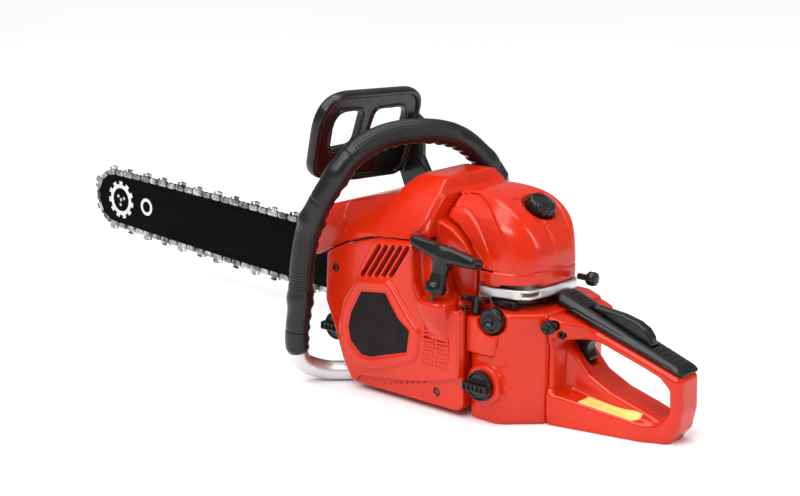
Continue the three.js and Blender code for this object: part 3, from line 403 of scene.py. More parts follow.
LOOKS = {
    # A glossy moulded shell, very slightly uneven in colour and surface.
    "red": layered("red_shell", ((14, 3), (0.54, 0.0150, 0.0006), (0.61, 0.0205, 0.0009)),
                   ((60, 5), 0.20, 0.27), ((380, 2), 0.000015),
                   Specular_IOR_Level=0.34, Coat_Weight=0.12, Coat_Roughness=0.06),
    # Satin nylon with a fine spark-eroded texture and a faint dusting on it.
    "black": layered("black_plastic", ((25, 5), (0.004, 0.004, 0.0045), (0.009, 0.009, 0.0095)),
                     ((90, 6), 0.20, 0.29), ((1500, 2), 0.00003),
                     Specular_IOR_Level=0.3, Coat_Weight=0.1, Coat_Roughness=0.08),
    # Matt rubber, a little polished where hands hold it.
    "rubber": layered("black_rubber", ((30, 5), (0.004, 0.004, 0.004), (0.010, 0.010, 0.0105)),
                      ((22, 4), 0.24, 0.36), ((900, 3), 0.00005), Specular_IOR_Level=0.36),
    "steel": steel("steel", (0.46, 0.46, 0.47), (0.62, 0.62, 0.63)),
    # The chain's colour runs in blotches from near black to bright steel: painted shade for the gaps
    # between links and painted highlights on them.
    "chain_steel": steel("chain_steel", (0.09, 0.09, 0.09), (0.60, 0.60, 0.61), (0.16, 0.34)),
    "dark_steel": steel("dark_steel", (0.022, 0.022, 0.024), (0.06, 0.06, 0.063), (0.3, 0.45)),
    "aluminium": aluminium("cast_aluminium", (0.62, 0.63, 0.64), (0.34, 0.5), 0.00012),
    "band": aluminium("satin_aluminium", (0.74, 0.75, 0.76), (0.36, 0.48), 0.00004, (0.15, 0.15, 1)),
    "tube": aluminium("polished_tube", (0.74, 0.74, 0.75), (0.34, 0.46), 0.00002, (0.2, 1, 1)),
    # Smooth black enamel, faintly scuffed along the bar.
    "bar": layered("bar_paint", ((120, 6, (0.06, 1, 1)), (0.0015, 0.0015, 0.0016), (0.004, 0.004, 0.0042),
                                 0.5, 0.8),
                   ((200, 5, (0.05, 1, 1)), 0.3, 0.42), ((600, 2), 0.00002), Specular_IOR_Level=0.02),
    "white_print": printed("white_print", (0.62, 0.62, 0.62), (0.74, 0.74, 0.74)),
    "label_black": printed("label_black", (0.006, 0.0045, 0.004), (0.010, 0.008, 0.007), (0.3, 0.42)),
    "label_yellow": printed("label_yellow", (0.80, 0.60, 0.16), (0.88, 0.68, 0.22), (0.35, 0.5)),
    "felt": layered("filter_felt", ((300, 8), (0.60, 0.56, 0.44), (0.76, 0.73, 0.62)),
                    ((200, 5), 0.8, 0.95), ((1600, 8), 0.0003), Sheen_Weight=0.3),
    "cord": cord_braid(),
    "ceramic": layered("ceramic", ((60, 4), (0.78, 0.77, 0.73), (0.88, 0.87, 0.84)),
                       ((90, 4), 0.12, 0.25), ((300, 2), 0.00002), Coat_Weight=0.6),
}


def paint(piece, look):
    """Gives a piece one material only."""
    piece.data.materials.clear()
    piece.data.materials.append(LOOKS[look])


def dress(piece, look, body="saw_body", *replaced):
    """Gives a new piece its material, its body and the CAD nodes that it stands for."""
    paint(piece, look)
    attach(piece, body)
    if replaced:
        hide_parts(*replaced)
    return piece


# ---- driving dimensions, in millimetres

CRANK_Z = 70
SHELL_WALL = 2.6
STARTER_INNER = -42
RIGHT_SIDE = 56
TANK_TOP = 110
BAND_LOW, BAND_TOP = 121, 130.1
DOME_LOW = 130.4
KNOB_SEAT = (118, 0, 196)
KNOB_LEAN = math.radians(26)
KNOB_AXIS = (math.sin(KNOB_LEAN), 0, math.cos(KNOB_LEAN))
FUEL_CAP = (118, 39)
OIL_CAP = (-99, 50)
DAMPER = (124, 103)
LATCH = (172.5, 100.5)
GUARD_PIVOT = (-88, 0, 135)
GUARD_LEAN = math.radians(20)
SEAM = [(-105, 130), (-82, 141), (-57, 152.4), (-10, 166.4), (36, 169.4)]
PARTING = [(47, 187), (64, 181), (79, 170), (90, 156), (94.5, 146)]


def grip_top(x):
    """Height of the rear grip's top line."""
    return 124.5 - 0.345 * (x - 155)


def cover_seat(x):
    """Height of the line where the black cover sits on the red moulding."""
    return 108.5 - 0.293 * (x - 158)


# ---- starter housing

def shrunk(corners, inset):
    """Corners moved by an inset; each is given as x, z and how many insets it moves along both."""
    return [(x + inset * dx, z + inset * dz) for x, z, dx, dz in corners]


def starter_side(inset):
    """Side outline of the starter housing, drawn smaller by inset."""
    corners = [
        (-82, 138, 1, -1), (-57, 150, 1, -1), (-10, 164, 0, -1), (36, 167, -1, -1), (60, 146, -1, -1),
        (70, 117, -1, -1), (97, 111, -1, -1), (97, 15, -1, 1), (90, 8, -1, 1), (-44, 8, 0, 1),
        (-62, 32, 1, 1), (-72, 60, 1, 0), (-85, 88, 1, 0),
    ]
    return fillet(shrunk(corners, inset), 7)


LABEL = [
    (-28, 108), (4.5, 112.5), (10, 104), (22, 89), (36, 79.5), (33, 57), (0, 47), (-15, 42), (-28, 42),
    (-43, 54), (-46, 69), (-42, 84),
]
AIR_SLOTS = 5
FLANK_GROOVES = 8
RIB_ROWS = 5
ROPE_RADIUS = 1.75
ROPE_ROUTE = [(14.4, -78, 87), (34, -79, 93), (56, -84, 98), (67, -96, 103), (71, -104.2, 113.4)]


def grown(points, by):
    """An outline moved outwards from its middle by about the given distance."""
    middle = Vector((sum(p[0] for p in points) / len(points), sum(p[1] for p in points) / len(points)))
    return [tuple(Vector(p) + (Vector(p) - middle).normalized() * by) for p in points]


def starter_housing():
    """The left shell: raised face, pod for the label, pocket, rope boss, air slots and grooves."""
    s = Space((-88, -116, 5), (100, -39, 170), 0.95)
    flank = s.prism_y(starter_side(-0.8), -89.6, -20, 1.6)
    face = fillet([(-11, 172), (-40, 118), (-57, 92), (-64, 62), (-58, 32), (-42, 0), (120, 0),
                   (120, 110), (70, 130), (60, 172)], 14)
    raised = both(s.prism_y(starter_side(0.4), -94.5, -60, 4), s.prism_y(face, -120, -50), 3)
    body = join(flank, raised, 1.5)
    foot = [(-60, -10), (110, -10), (110, 47), (84, 39), (46, 29), (8, 23), (-34, 18)]
    body = cut(body, s.prism_y(fillet(foot, 6), -130, -89), 2)
    pod = s.prism_y(fillet(grown(LABEL, 14), 12), -98.6, -85, 4.5)
    body = join(body, both(pod, s.prism_y(starter_side(-1), -120, -20, 2), 3), 2)
    body = cut(body, s.prism_y(fillet(grown(LABEL, 2.6), 5), -110, -97.2, 0.5), 0.4)
    pocket = [(39, 190), (36, 150), (38, 126), (47, 108), (62, 103), (88, 103), (97, 116), (104, 190)]
    body = cut(body, s.prism_y(fillet(pocket, 8), -120, -79.5, 3), 4)
    boss = fillet([(-96, 78), (-113, 98), (-113.5, 119), (-76, 119), (-76, 78)], 4)
    boss = both(s.prism_x(boss, 53, 90, 4), s.rod((71, -78, 60), (72, -98, 114), 12, 19), 3)
    body = join(body, boss, 6)
    for i in range(AIR_SLOTS):
        low = (-30 + 9.75 * i, -93, 124 + 1.5 * i)
        high = (-6.5 + 9.3 * i, -93, 157.5 + i)
        body = cut(body, s.prism_y(capsule_outline(low, high, 2.3), -130, -80), 0.7)
    for i in range(FLANK_GROOVES):
        x = 2 + 7.5 * i
        z = 21.5 + 2.1 * i
        body = cut(body, s.rod((x, -92, z + 2), (x - 6, -88.4, z - 7), 1.3), 0.8)
    body = cut(body, both(body + SHELL_WALL, s.x - 91.6))
    for corner in ((-200, STARTER_INNER, -50), (36.8, -66.4, 112.6), (94.3, -84.6, -50)):
        body = cut(body, s.box(corner, (200, 0, 250)))
    body = cut(body, s.trail([*ROPE_ROUTE, (73.5, -100, 130)], 3.4))
    for x, z, depth in ((-70.5, 124, -88.6), (64, 21, -87.5)):
        body = cut(body, s.disc_y(4.6, -120, depth, x, z), 0.6)
    return dress(s.mesh("starter_shell", body, 1), "red", "saw_body", "starter_housing")


def capsule_outline(a, b, radius):
    """The outline of a round-ended slot between two points, seen along Y."""
    angle = math.atan2(b[2] - a[2], b[0] - a[0])
    points = []
    for centre, start in ((b, angle - math.pi / 2), (a, angle + math.pi / 2)):
        for k in range(CAPSULE_STEPS + 1):
            turn = start + math.pi * k / CAPSULE_STEPS
            points.append((centre[0] + radius * math.cos(turn), centre[2] + radius * math.sin(turn)))
    return points


def ring_prism(outer, inner, low, high, chamfer):
    """A flat chamfered frame between two outlines with the same count of points, seen along Y."""
    middle = Vector((sum(p[0] for p in outer) / len(outer), sum(p[1] for p in outer) / len(outer)))

    def ring(points, y, by):
        """An outline at one height, moved inwards."""
        moved = [Vector(p) + (middle - Vector(p)).normalized() * by for p in points]
        return [(q.x, y, q.y) for q in moved]

    rings = [ring(outer, low, 0), ring(outer, high + chamfer, 0), ring(outer, high, chamfer),
             ring(inner, high, -chamfer), ring(inner, high + chamfer, 0), ring(inner, low, 0)]
    sides = len(outer)
    faces = []
    for i in range(len(rings) - 1):
        for k in range(sides):
            a, b = i * sides + k, i * sides + (k + 1) % sides
            faces.append((a, a + sides, b + sides, b))
    return [p for points in rings for p in points], faces


def surface_of(piece):
    """A tree for finding where a line meets a piece."""
    return BVHTree.FromObject(piece, bpy.context.evaluated_depsgraph_get())


def housing_ribs(housing):
    """The ladder of raised frames behind the label, and a black sheet behind the air slots: painted shade
    that darkens the slots.
    """
    surface = surface_of(housing)

    def seated(points, faces):
        """A frame moved as a whole to where the housing stands out most behind it."""
        hits = [surface.ray_cast(Vector((x, -130, z)) * MM, Vector((0, 1, 0)))[0] for x, y, z in points]
        front = max(min(spot.y / MM for spot in hits if spot), -96.4)
        return [(x, y + front, z) for x, y, z in points], faces

    frames = []
    for i in range(RIB_ROWS):
        high = 90 - 8.9 * i
        low = high - 7
        left = 53.5 - i
        for x0, x1 in ((left, left + 14.5), (left + 17, 86 - 0.5 * i)):
            outer = fillet([(x0, low), (x1, low + 0.8), (x1, high + 0.8), (x0, high)], 1.4, 3)
            inner = [(x0 + 2, low + 2), (x1 - 2, low + 2.7), (x1 - 2, high - 1.3), (x0 + 2, high - 2)]
            frames.append(seated(*ring_prism(outer, fillet(inner, 1.0, 3), 9.0, -0.9, 0.5)))
    dress(built("rib_frames", frames), "red")
    # A black sheet just inside the air slots: painted shade, standing in for the dark inside of the
    # housing.
    s = Space((-42, -90, 116), (48, -84, 168), 1.0)
    slot_shade_outline = fillet([(-36, 121), (16, 121), (41, 162), (-8, 160), (-14, 156)], 3)
    dress(s.mesh("slot_shade_sheet", s.prism_y(slot_shade_outline, -87.6, -86, 0.3)), "black")


def built(name, parts):
    """One mesh from several lists of points and faces given in millimetres."""
    points, faces = merged(*parts)
    mesh = bpy.data.meshes.new(name)
    mesh.from_pydata([tuple(c * MM for c in p) for p in points], [], faces)
    tidy = bmesh.new()
    tidy.from_mesh(mesh)
    bmesh.ops.recalc_face_normals(tidy, faces=tidy.faces)
    tidy.to_mesh(mesh)
    tidy.free()
    piece = bpy.data.objects.new(name, mesh)
    bpy.context.scene.collection.objects.link(piece)
    return piece


def label():
    """A blank black field in the pod."""
    s = Space((-52, -99, 36), (42, -90, 118), 0.7)
    plate = s.prism_y(fillet(LABEL, 3), -98.0, -96.9, 0.3)
    dress(s.mesh("starter_label", plate), "label_black")


# ---- cylinder cover

def cover_section(inset):
    """Cross-section of the cylinder cover."""
    left = bezier((-90 + inset, 166), (-78 + inset, 198 - inset), (-54, 222 - inset), (-36, 225 - inset))
    right = bezier((RIGHT_SIDE - inset, 166), (RIGHT_SIDE - 12 - inset, 198 - inset), (42, 222 - inset),
                   (24, 225 - inset))
    return [(-90 + inset, 90), *left, *reversed(right), (RIGHT_SIDE - inset, 90)]


def cylinder_cover():
    """The shell over the cylinder: low front, raised middle, air gaps, room for the starter handle."""
    s = Space((-110, -92, 112), (97, 58, 227), 1.1)
    top = [(46.2, 211), (34, 214), (-4, 206), (-45, 198), (-97, 183), (-107, 173)]

    def section(inset):
        """The cover's cross-section carried along the saw."""
        return s.prism_x(cover_section(inset), -200, 200)

    low = both(s.prism_y(fillet([*SEAM, (46.2, 171), *top], 1.2), -130, 130), section(2.5), 4)
    rear = [(x - 0.6, z - 0.6) for x, z in reversed(PARTING)]
    inner_side = [(-107, 170), (-106, 150), (-52, 168), (-52, 118.6), (92.6, 118.6), *rear, (-60, 190)]
    inner = s.prism_y(inner_side, -41.6, RIGHT_SIDE - 1, 1)
    skirt = s.prism_y([(37.5, 114), (92.6, 114), *rear, (37.5, 187)], -65.6, -41)
    shell = both(join(inner, skirt), section(4))
    band_side = [(-20, 158), (33.5, 166), (43, 190), (44, 212), (37, 224.6), (3, 224.6), (-5, 214)]
    raised = both(s.prism_y(fillet(band_side, 3), -130, 130), section(-0.6), 1.5)
    line = [(x, z - 0.2) for x, z in SEAM]
    below = s.prism_y([*line, (60, 170), (60, 50), (-140, 50), (-140, 120)], -100, -66)
    raised = cut(raised, below)
    body = join(join(low, raised, 2), shell, 1)
    body = cut(body, s.rod((-56, -86, 202), (-61, -91, 156), 7.5, 1.2), 2)
    seam = np.maximum(np.abs(s.x + 68 + 0.18 * (s.y + 60)) - 0.7, 176 - s.z)
    body = engrave(body, seam, 1.0)
    for i in range(4):
        z = 150 + 6.5 * i
        body = cut(body, s.box((-115, -34, z), (-95, 36, z + 3), 1.2), 0.8)
        body = cut(body, s.box((-40, 48, z - 16), (30, 64, z - 13), 1.2), 0.8)
    front_room = [(-103, 60), (-103, 168), (-96, 176), (-45, 189), (-8, 197), (6, 214), (34, 215),
                  (41, 205), (41, 60)]
    rear_room = [(40, 60), (40, 184), (60, 176), (76, 165), (87, 149), (89.5, 141), (89.5, 60)]
    inside = join(both(s.prism_y(front_room, -86, 52), section(6.5)), s.prism_y(rear_room, -62.6, 52))
    body = cut(body, inside)
    for low, high in (((-120, -41, 80), (-54, 40, 170)), ((85, -58, 90), (110, 50, 150))):
        body = cut(body, s.box(low, high))
    bar_ends = [tuple(grip_frame() @ (Vector((u, 0, 50)) * MM) / MM) for u in (-41, 20)]
    body = cut(body, s.rod(*bar_ends, 10.4), 1.5)
    dress(s.mesh("cylinder_cover_shell", body, 1), "red", "saw_body", "cylinder_cover")


# ---- air filter cover, band, knobs

def dome_plan(inset):
    """The air filter cover seen from above, drawn smaller by inset."""
    corners = [(94, -64, 1, 1), (134, -57, -0.5, 1), (147, -47, -1, 1), (151, -20, -1, 0),
               (151, 20, -1, -0.5), (115, 54, -1, -1), (94, 56, 1, -1)]
    return fillet(shrunk(corners, inset), 8)


def dome_solid(s, inset, soft):
    """The rounded body of the air filter cover, drawn smaller by inset."""
    crest = bezier((70, 217 - inset), (112, 214 - inset), (149 - inset, 192 - inset), (151.5 - inset, 150))
    front = [(max(x, 47 + inset), z) for x, z in reversed(PARTING)]
    side = [(47 + inset, 213 - inset), *crest, (151.5 - inset, DOME_LOW), (94.5, DOME_LOW), *front]
    left = bezier((-66 + inset, 150), (-62 + inset, 203 - inset), (-38, 218 - inset), (0, 218 - inset))
    right = bezier((RIGHT_SIDE - inset, 150), (52 - inset, 203 - inset), (38, 218 - inset),
                   (0, 218 - inset))
    section = [(-66 + inset, 60), *left, *reversed(right[:-1]), (RIGHT_SIDE - inset, 60)]
    plan = [(40, -66 + inset), (112, -66 + inset), *[p for p in dome_plan(inset) if p[0] > 112 - inset],
            (104, RIGHT_SIDE - inset), (40, RIGHT_SIDE - inset)]
    across = both(s.prism_x(section, 0, 300), s.prism_z(plan, 0, 400), soft)
    return both(across, s.prism_y(side, -200, 200), soft / 2)


def air_filter_cover():
    """The domed cover with its two stepped bands, grooves and the round seat of its knob."""
    s = Space((44, -69, 128), (155, 60, 220), 0.9)

    def round_knob(radius, low, high, edge=0.0):
        """A disc on the knob's own axis."""
        return s.disc_on(KNOB_SEAT, KNOB_AXIS, radius, low, high, edge)

    body = dome_solid(s, 0, 9)
    round_body = (np.maximum(s.x - 66, 0) / 86) ** 2.4 + (np.abs(s.y + 5) / 66) ** 3
    round_body = (round_body + (np.maximum(s.z - 132, 0) / 88) ** 2.8 - 1) * 36
    body = both(body, round_body, 4)
    first = curve_through([(44, 209), (70, 211), (96, 202), (116, 184), (128, 164), (132, 146)], 4)
    second = curve_through([(44, 198), (66, 199), (86, 189), (100, 174), (108, 160), (111, 146)], 4)
    third = curve_through([(44, 190), (62, 184), (84, 168), (100, 152)], 4)
    outer = s.prism_y([(40, 146.5), (40, 209), *map(tuple, first)], -100, 100)
    middle = s.prism_y([(40, 146.5), (40, 198), *map(tuple, second)], -100, 100)
    body = cut(body, np.maximum(np.maximum(outer, -middle), -(body + 1.6)), 1.0)
    body = cut(body, np.maximum(middle, -(body + 0.8)), 0.6)
    line = np.abs(s.prism_y([(30, 120), (30, 190), *map(tuple, third), (100, 120)], -100, 100)) - 0.6
    body = engrave(body, line, 0.8)
    body = engrave(body, np.abs(s.z - 145.4) - 0.6, 0.9)
    for a, b in (((112, -19, 212), (152, -12, 160)), ((112, 19, 212), (152, 14, 160))):
        body = engrave(body, s.rod(a, b, 9.0, 2.0), 1.4)
    body = cut(body, round_knob(18.5, 2.2, 40, 1.5), 3)
    body = join(body, cut(round_knob(19.5, -2, 1.6, 1), round_knob(16.5, -9, 9)), 1)
    body = cut(body, round_knob(16.4, -0.3, 40, 1), 0.6)
    inner = both(dome_solid(s, 3.8, 7), round_body + 4.2, 3)
    body = cut(body, cut(inner, round_knob(21, -4, 20)))
    body = cut(body, s.box((90, -60, 120), (147, 16, 134)))
    body = cut(body, round_knob(4.4, -30, 20))
    dress(s.mesh("air_filter_dome", body, 2), "red", "saw_body", "air_filter_cover")


def band():
    """The light metal band under the air filter cover, and the rubber seat below it."""
    s = Space((91, -66, 110), (155, 59, 133), 0.8)
    body = s.prism_z(dome_plan(-0.8), BAND_LOW, BAND_TOP, 0.6)
    body = cut(body, s.prism_z(dome_plan(4), BAND_LOW + 3, 140))
    body = cut(body, s.disc_z(10, 100, 130, 112, -4))
    body = cut(body, s.box((139, -62, 124), (158, -36, 127.6), 0.8), 0.5)
    dress(s.mesh("silver_band", body, 1), "band", "saw_body", "air_box_base")
    seat = s.prism_z(dome_plan(7), 113.5, BAND_LOW - 0.3, 1)
    seat = join(seat, s.box((112, -60, 112), (136, -52, 119.5), 1), 1)
    seat = cut(seat, s.disc_z(12, 100, 130, 112, -4))
    dress(s.mesh("rubber_seat", seat, 1), "rubber")


def filter_knob():
    """A fluted knob with a dished top and a raised ring, on its own leaning axis."""
    flutes, sides = 14, 112
    rings = []
    for radius, height, depth in (
        (4, -0.2, 0), (13.4, -0.2, 0.6), (14.6, 0.8, 1), (15, 2.2, 1), (15, 9.2, 1), (14.4, 11.2, 0.8),
        (12.6, 12.8, 0.3), (11.4, 13.0, 0), (10.6, 12.2, 0), (9.4, 11.6, 0), (8.6, 12.2, 0),
        (3.5, 12.4, 0), (0.01, 12.4, 0),
    ):
        ring = []
        for k in range(sides):
            angle = 2 * math.pi * k / sides
            r = radius - 1.25 * depth * max(0.0, math.cos(flutes * angle)) ** 2
            ring.append((r * math.cos(angle), r * math.sin(angle), height))
        rings.append(ring)
    piece = lofted("fluted_knob", rings)
    piece.data.transform(Matrix.Translation(Vector(KNOB_SEAT) * MM) @ Matrix.Rotation(KNOB_LEAN, 4, "Y"))
    dress(piece, "black", "filter_screw", "filter_knob")


def lofted(name, rings):
    """A closed skin over rings of points, all with the same count, given in millimetres."""
    sides = len(rings[0])
    points = np.array([p for ring in rings for p in ring], float) * MM
    faces = []
    for i in range(len(rings) - 1):
        for k in range(sides):
            a, b = i * sides + k, i * sides + (k + 1) % sides
            faces.append((a, b, b + sides, a + sides))
    piece = mesh_object(name, points, np.array(faces))
    mesh = bmesh.new()
    mesh.from_mesh(piece.data)
    bmesh.ops.holes_fill(mesh, edges=[e for e in mesh.edges if e.is_boundary], sides=0)
    bmesh.ops.recalc_face_normals(mesh, faces=mesh.faces)
    mesh.to_mesh(piece.data)
    mesh.free()
    piece.data.shade_smooth()
    return piece


def stood(piece, place, axis):
    """Moves a piece drawn along its own Z so that it starts at a place and points along an axis."""
    turn = UP.rotation_difference(Vector(axis)).to_matrix().to_4x4()
    piece.data.transform(Matrix.Translation(Vector(place) * MM) @ turn)
    return piece


def turned(name, profile, place, axis, sides=48):
    """A turned piece: profile points are [radius, height] along an axis from a place, in millimetres."""
    rings = [[(r * math.cos(2 * math.pi * k / sides), r * math.sin(2 * math.pi * k / sides), h)
              for k in range(sides)] for r, h in profile]
    return stood(lofted(name, rings), place, axis)


# ---- tank and rear handle

def fuel_tank():
    """The tank moulding, with a boss for its filler cap and a socket for the damper plug."""
    s = Space((93, -88, -2), (168, 64, 122), 1.2)
    plan = fillet([(95, -79), (132, -78), (165, -46), (165, 46), (138, 62), (95, 62)], 12)
    body = s.prism_z(plan, 0, TANK_TOP, 4)
    upper = s.prism_y(fillet([(95.5, 68), (128, 68), (133, 84), (131, 108), (95.5, 108)], 5), -83.5, -50, 3)
    upper_plan = fillet([(95.5, -90), (131, -90), (150, -66), (120, -20), (95.5, -20)], 8)
    body = join(body, both(upper, s.prism_z(upper_plan, -10, 300)), 2.5)
    body = join(body, s.disc_y(20, -84, -60, *FUEL_CAP, 2), 4)
    foot = s.prism_y([(60, -20), (200, -20), (200, 9), (60, 9)], -300, -78)
    body = cut(body, both(foot, -s.prism_z(plan, -50, 50) - 2), 2)
    crease = np.abs(s.x - 137.5 + 0.12 * (s.z - 40)) - 0.7
    body = engrave(body, np.maximum(crease, s.z - 96), 0.9)
    body = engrave(body, np.abs(s.z - 60 - 0.05 * (s.x - 130)) - 0.55, 0.6)
    body = cut(body, s.disc_y(14.2, -100, -71.5, *DAMPER, 1), 1)
    body = cut(body, s.disc_y(15.6, -100, -84.2, *FUEL_CAP, 0.5), 0.5)
    body = cut(body, s.box((112, -4, 90), (172, 4, 112)))
    body = cut(body, s.box((84, -92, 104.5), (112, -56, 130), 2))
    dress(s.mesh("tank_moulding", body), "red", "saw_body", "fuel_tank")


GRIP_LOOP = [
    (168.5, 86), (206, 83.5), (254, 70), (274, 63.5), (285, 54), (286, 34), (278, 22), (256, 29),
    (222, 38), (196, 50), (182, 65), (171, 77),
]


def rear_handle():
    """The red moulding of the rear handle: loop, lower rail and the root on the tank."""
    s = Space((162, -52, -2), (300, 50, 112), 1.15)
    side = [(165.3, 0), (280, 0), (293, 12), (298, 34), (297, cover_seat(297)), (165.3, cover_seat(165))]
    grip = s.prism_y(fillet(side, 9), -18, 18, 8)
    rail_plan = fillet([(163, -46), (262, -25), (284, -12), (284, 12), (262, 25), (163, 46)], 6)
    rail_side = [(158, -1), (300, -1), (300, 13), (250, 20), (180, 31), (158, 32)]
    body = join(grip, both(s.prism_z(rail_plan, -4, 40), s.prism_y(rail_side, -60, 60), 4), 6)
    low = s.prism_z([(160, -44), (169, -40), (175, -16), (175, 16), (169, 40), (160, 44)], 8, 92, 4)
    high = s.prism_z([(160, -46), (180, -41), (200, -16), (200, 16), (180, 41), (160, 46)], 84, 108, 4)
    ceiling = s.z - (cover_seat(s.x) - 0.3 + 2.5 * np.clip((np.abs(s.y) - 18) / 4, 0, 1))
    body = join(body, low, 8)
    body = join(body, both(high, ceiling, 2), 6)
    body = cut(body, s.prism_y(fillet(GRIP_LOOP, 8), -60, 60), 5)
    body = both(body, ceiling, 1)
    for low, high, edge in (
        ((140, -200, -50), (165.3, 200, 300), 0), ((150, -200, -50), (400, 200, 0), 0),
        ((160, -7, 55), (204, 7, 99), 1), ((200, -7, 66), (262, 7, 130), 1),
        ((150, -4, 90), (172, 4, 112), 0),
    ):
        body = cut(body, s.box(low, high, edge))
    body = cut(body, s.disc_y(4.2, -60, -30, *LATCH, 0.3), 0.5)
    body = cut(body, s.rod((178, -60, 91), (178, -37, 91), 3.9), 0.6)
    return dress(s.mesh("rear_moulding", body), "red", "saw_body", "rear_handle")


def rail_top(x):
    """Height of the rail's upper face."""
    return 31 - (x - 180) * 11 / 70


LABEL_LIFT = 0.00028
LABEL_SINK = 0.0004


def yellow_label(moulding):
    """A blank warning field that follows the rail's upper face, beside the loop."""
    surface = surface_of(moulding)
    along, across = 16, 8
    upper, lower = [], []
    for i in range(along + 1):
        outer = Vector((197, -36.8)).lerp(Vector((251, -25.6)), i / along)
        inner = Vector((197, -20)).lerp(Vector((258, -17.5)), i / along)
        for k in range(across + 1):
            u = outer.lerp(inner, k / across)
            spot, normal = surface.ray_cast(Vector((u.x, u.y, 55)) * MM, -UP)[:2]
            if spot is None:
                spot, normal = Vector((u.x, u.y, rail_top(u.x))) * MM, UP
            upper.append(spot + normal * LABEL_LIFT)
            lower.append(spot - normal * LABEL_SINK)
    row, count = across + 1, len(upper)
    faces = []
    for i in range(along):
        for k in range(across):
            a = i * row + k
            faces.append((a, a + row, a + row + 1, a + 1))
            faces.append((count + a, count + a + 1, count + a + row + 1, count + a + row))
    rim = list(range(across)) + [i * row + across for i in range(along)]
    rim += [along * row + k for k in range(across, 0, -1)] + [i * row for i in range(along, 0, -1)]
    for a, b in zip(rim, rim[1:] + rim[:1]):
        faces.append((a, b, count + b, count + a))
    piece = mesh_object("yellow_label", np.array([tuple(p) for p in upper + lower]), np.array(faces))
    dress(piece, "label_yellow")


def handle_cover():
    """The rubber-like cover on top of the rear handle, grooved and open for the lockout lever."""
    s = Space((150, -19, 60), (299, 19, 127), 0.85)
    side = [(153, 110.3), (155, grip_top(155)), (289, grip_top(289)), (296.5, grip_top(296) - 5),
            (297.5, cover_seat(297) + 0.3), (165.6, cover_seat(165.6) + 0.3), (165.6, 110.3)]
    body = s.prism_y(fillet(side, 2), -40, 40)
    crown = s.z - (grip_top(s.x) - 0.012 * s.y ** 2 - 0.2)
    flanks = np.abs(s.y) - 17.4 + 0.04 * np.maximum(0, s.z - cover_seat(s.x) - 2)
    body = both(both(body, crown, 1.5), flanks, 6)
    for lift in (3.2, 7.0):
        groove = np.maximum(np.abs(s.z - cover_seat(s.x) - lift) - 0.65, np.abs(s.x - 229) - 56)
        body = engrave(body, np.maximum(groove, 14 - np.abs(s.y)), 1.0)
    for x in (268, 274, 280, 286, 163, 168, 173, 178):
        body = engrave(body, np.maximum(np.abs(s.x - x) - 0.8, np.abs(s.y) - 9), 0.8)
    body = cut(body, s.box((183.5, -6.5, 60), (258.5, 6.5, 130), 1), 1)
    dress(s.mesh("grip_cover", body), "rubber", "saw_body", "handle_cover")


def lockout_lever():
    """The long lever on top of the grip, hinged at its rear end."""
    s = Space((185, -7, 72), (260, 7, 120), 0.6)
    side = [(204, 91), (204, 107), (189, 111), (188, 114), (192, 115), (222, 112.2), (240, 108.2),
            (250, 103), (255.5, 96), (257, 89), (256, 83), (250, 78.5), (244, 80), (240, 88), (212, 88)]
    body = s.prism_y(fillet(side, 3), -5.6, 5.6, 2.4)
    dress(s.mesh("lockout_lever", body), "black", "lockout", "throttle_lockout")


def latch_and_damper():
    """The latch button on the handle's left side, and the round plug in the tank's side."""
    cap = [(0.01, 0), (6.0, 0), (6.5, 0.8), (6.5, 7), (6.0, 7.9), (4.2, 7.9), (3.8, 7.0), (0.01, 7.0)]
    stem = [(0.01, 0), (3.6, 0), (3.6, 13), (0.01, 13)]
    plug = [(0.01, 0), (12.3, 0), (12.3, 8.6), (11.4, 9.8), (9.2, 10), (8.6, 8.8), (6.4, 8.8), (5.9, 9.6),
            (5.0, 9.6), (4.6, 7.0), (0.01, 7.0)]
    for name, profile, (x, z), y, sides, rides in (
        ("latch_cap", cap, LATCH, -49.2, 48, ("latch", "latch_button")),
        ("latch_stem", stem, LATCH, -37, 24, ("latch",)),
        ("damper_plug", plug, DAMPER, -72, 48, ("saw_body", "left_mount")),
    ):
        dress(turned(name, profile, (x, y, z), (0, -1, 0), sides), "black", *rides)


# ---- caps, knobs and the starter handle

def filler_cap(name, node, body_name, place, face):
    """A round cap with a notched rim and a ladder-shaped grip bar across it."""
    x, z = place
    s = Space((x - 17, face - 8, z - 17), (x + 17, face + 9, z + 17), 0.55)
    body = s.disc_y(15, face, face + 6.6, x, z, 1.2)
    angle = np.arctan2(s.z - z, s.x - x)
    notches = np.hypot(s.x - x, s.z - z) - 15.2 + 0.6 * (np.cos(angle * 26) + 1)
    body = both(body, notches, 0.5)
    body = cut(body, s.disc_y(12.4, face - 1, face + 1.2, x, z), 0.5)
    bar = s.box((x - 14.6, face - 7, z - 4.2), (x + 14.6, face + 3, z + 4.2), 1.2)
    body = join(body, bar, 1)
    for k in range(5):
        at = x - 10.4 + 5.2 * k
        body = cut(body, s.box((at - 1.7, face - 9, z - 2.2), (at + 1.7, face - 4.6, z + 2.2), 0.4), 0.4)
    dress(s.mesh(name, body), "black", body_name, node)


def choke():
    """A mushroom-shaped knob that is pulled backwards."""
    profile = [(0.01, 0), (3.2, 0), (3.2, 10), (3.8, 11.2), (6.2, 12), (7, 13.2), (7, 18.2), (6.2, 20.4),
               (4, 21.4), (0.01, 21.6)]
    dress(turned("choke_mushroom", profile, (155.5, 17, 134), (1, 0, 0)), "black", "choke", "choke_knob")


def stop_switch():
    """A small rocker lever on its hub."""
    s = Space((84, -84, 104), (109, -67, 124), 0.6)
    lever = s.rod((90, -75.4, 119), (103, -74.4, 119), 2.6, 3.6)
    lever = join(lever, s.disc_z(5, 106, 120.5, 102, -74, 1), 1.5)
    lever = join(lever, s.box((86.5, -79.5, 116.8), (91, -72.5, 121.4), 1.2), 1.5)
    dress(s.mesh("switch_lever", lever), "black", "ignition_switch", "stop_switch")


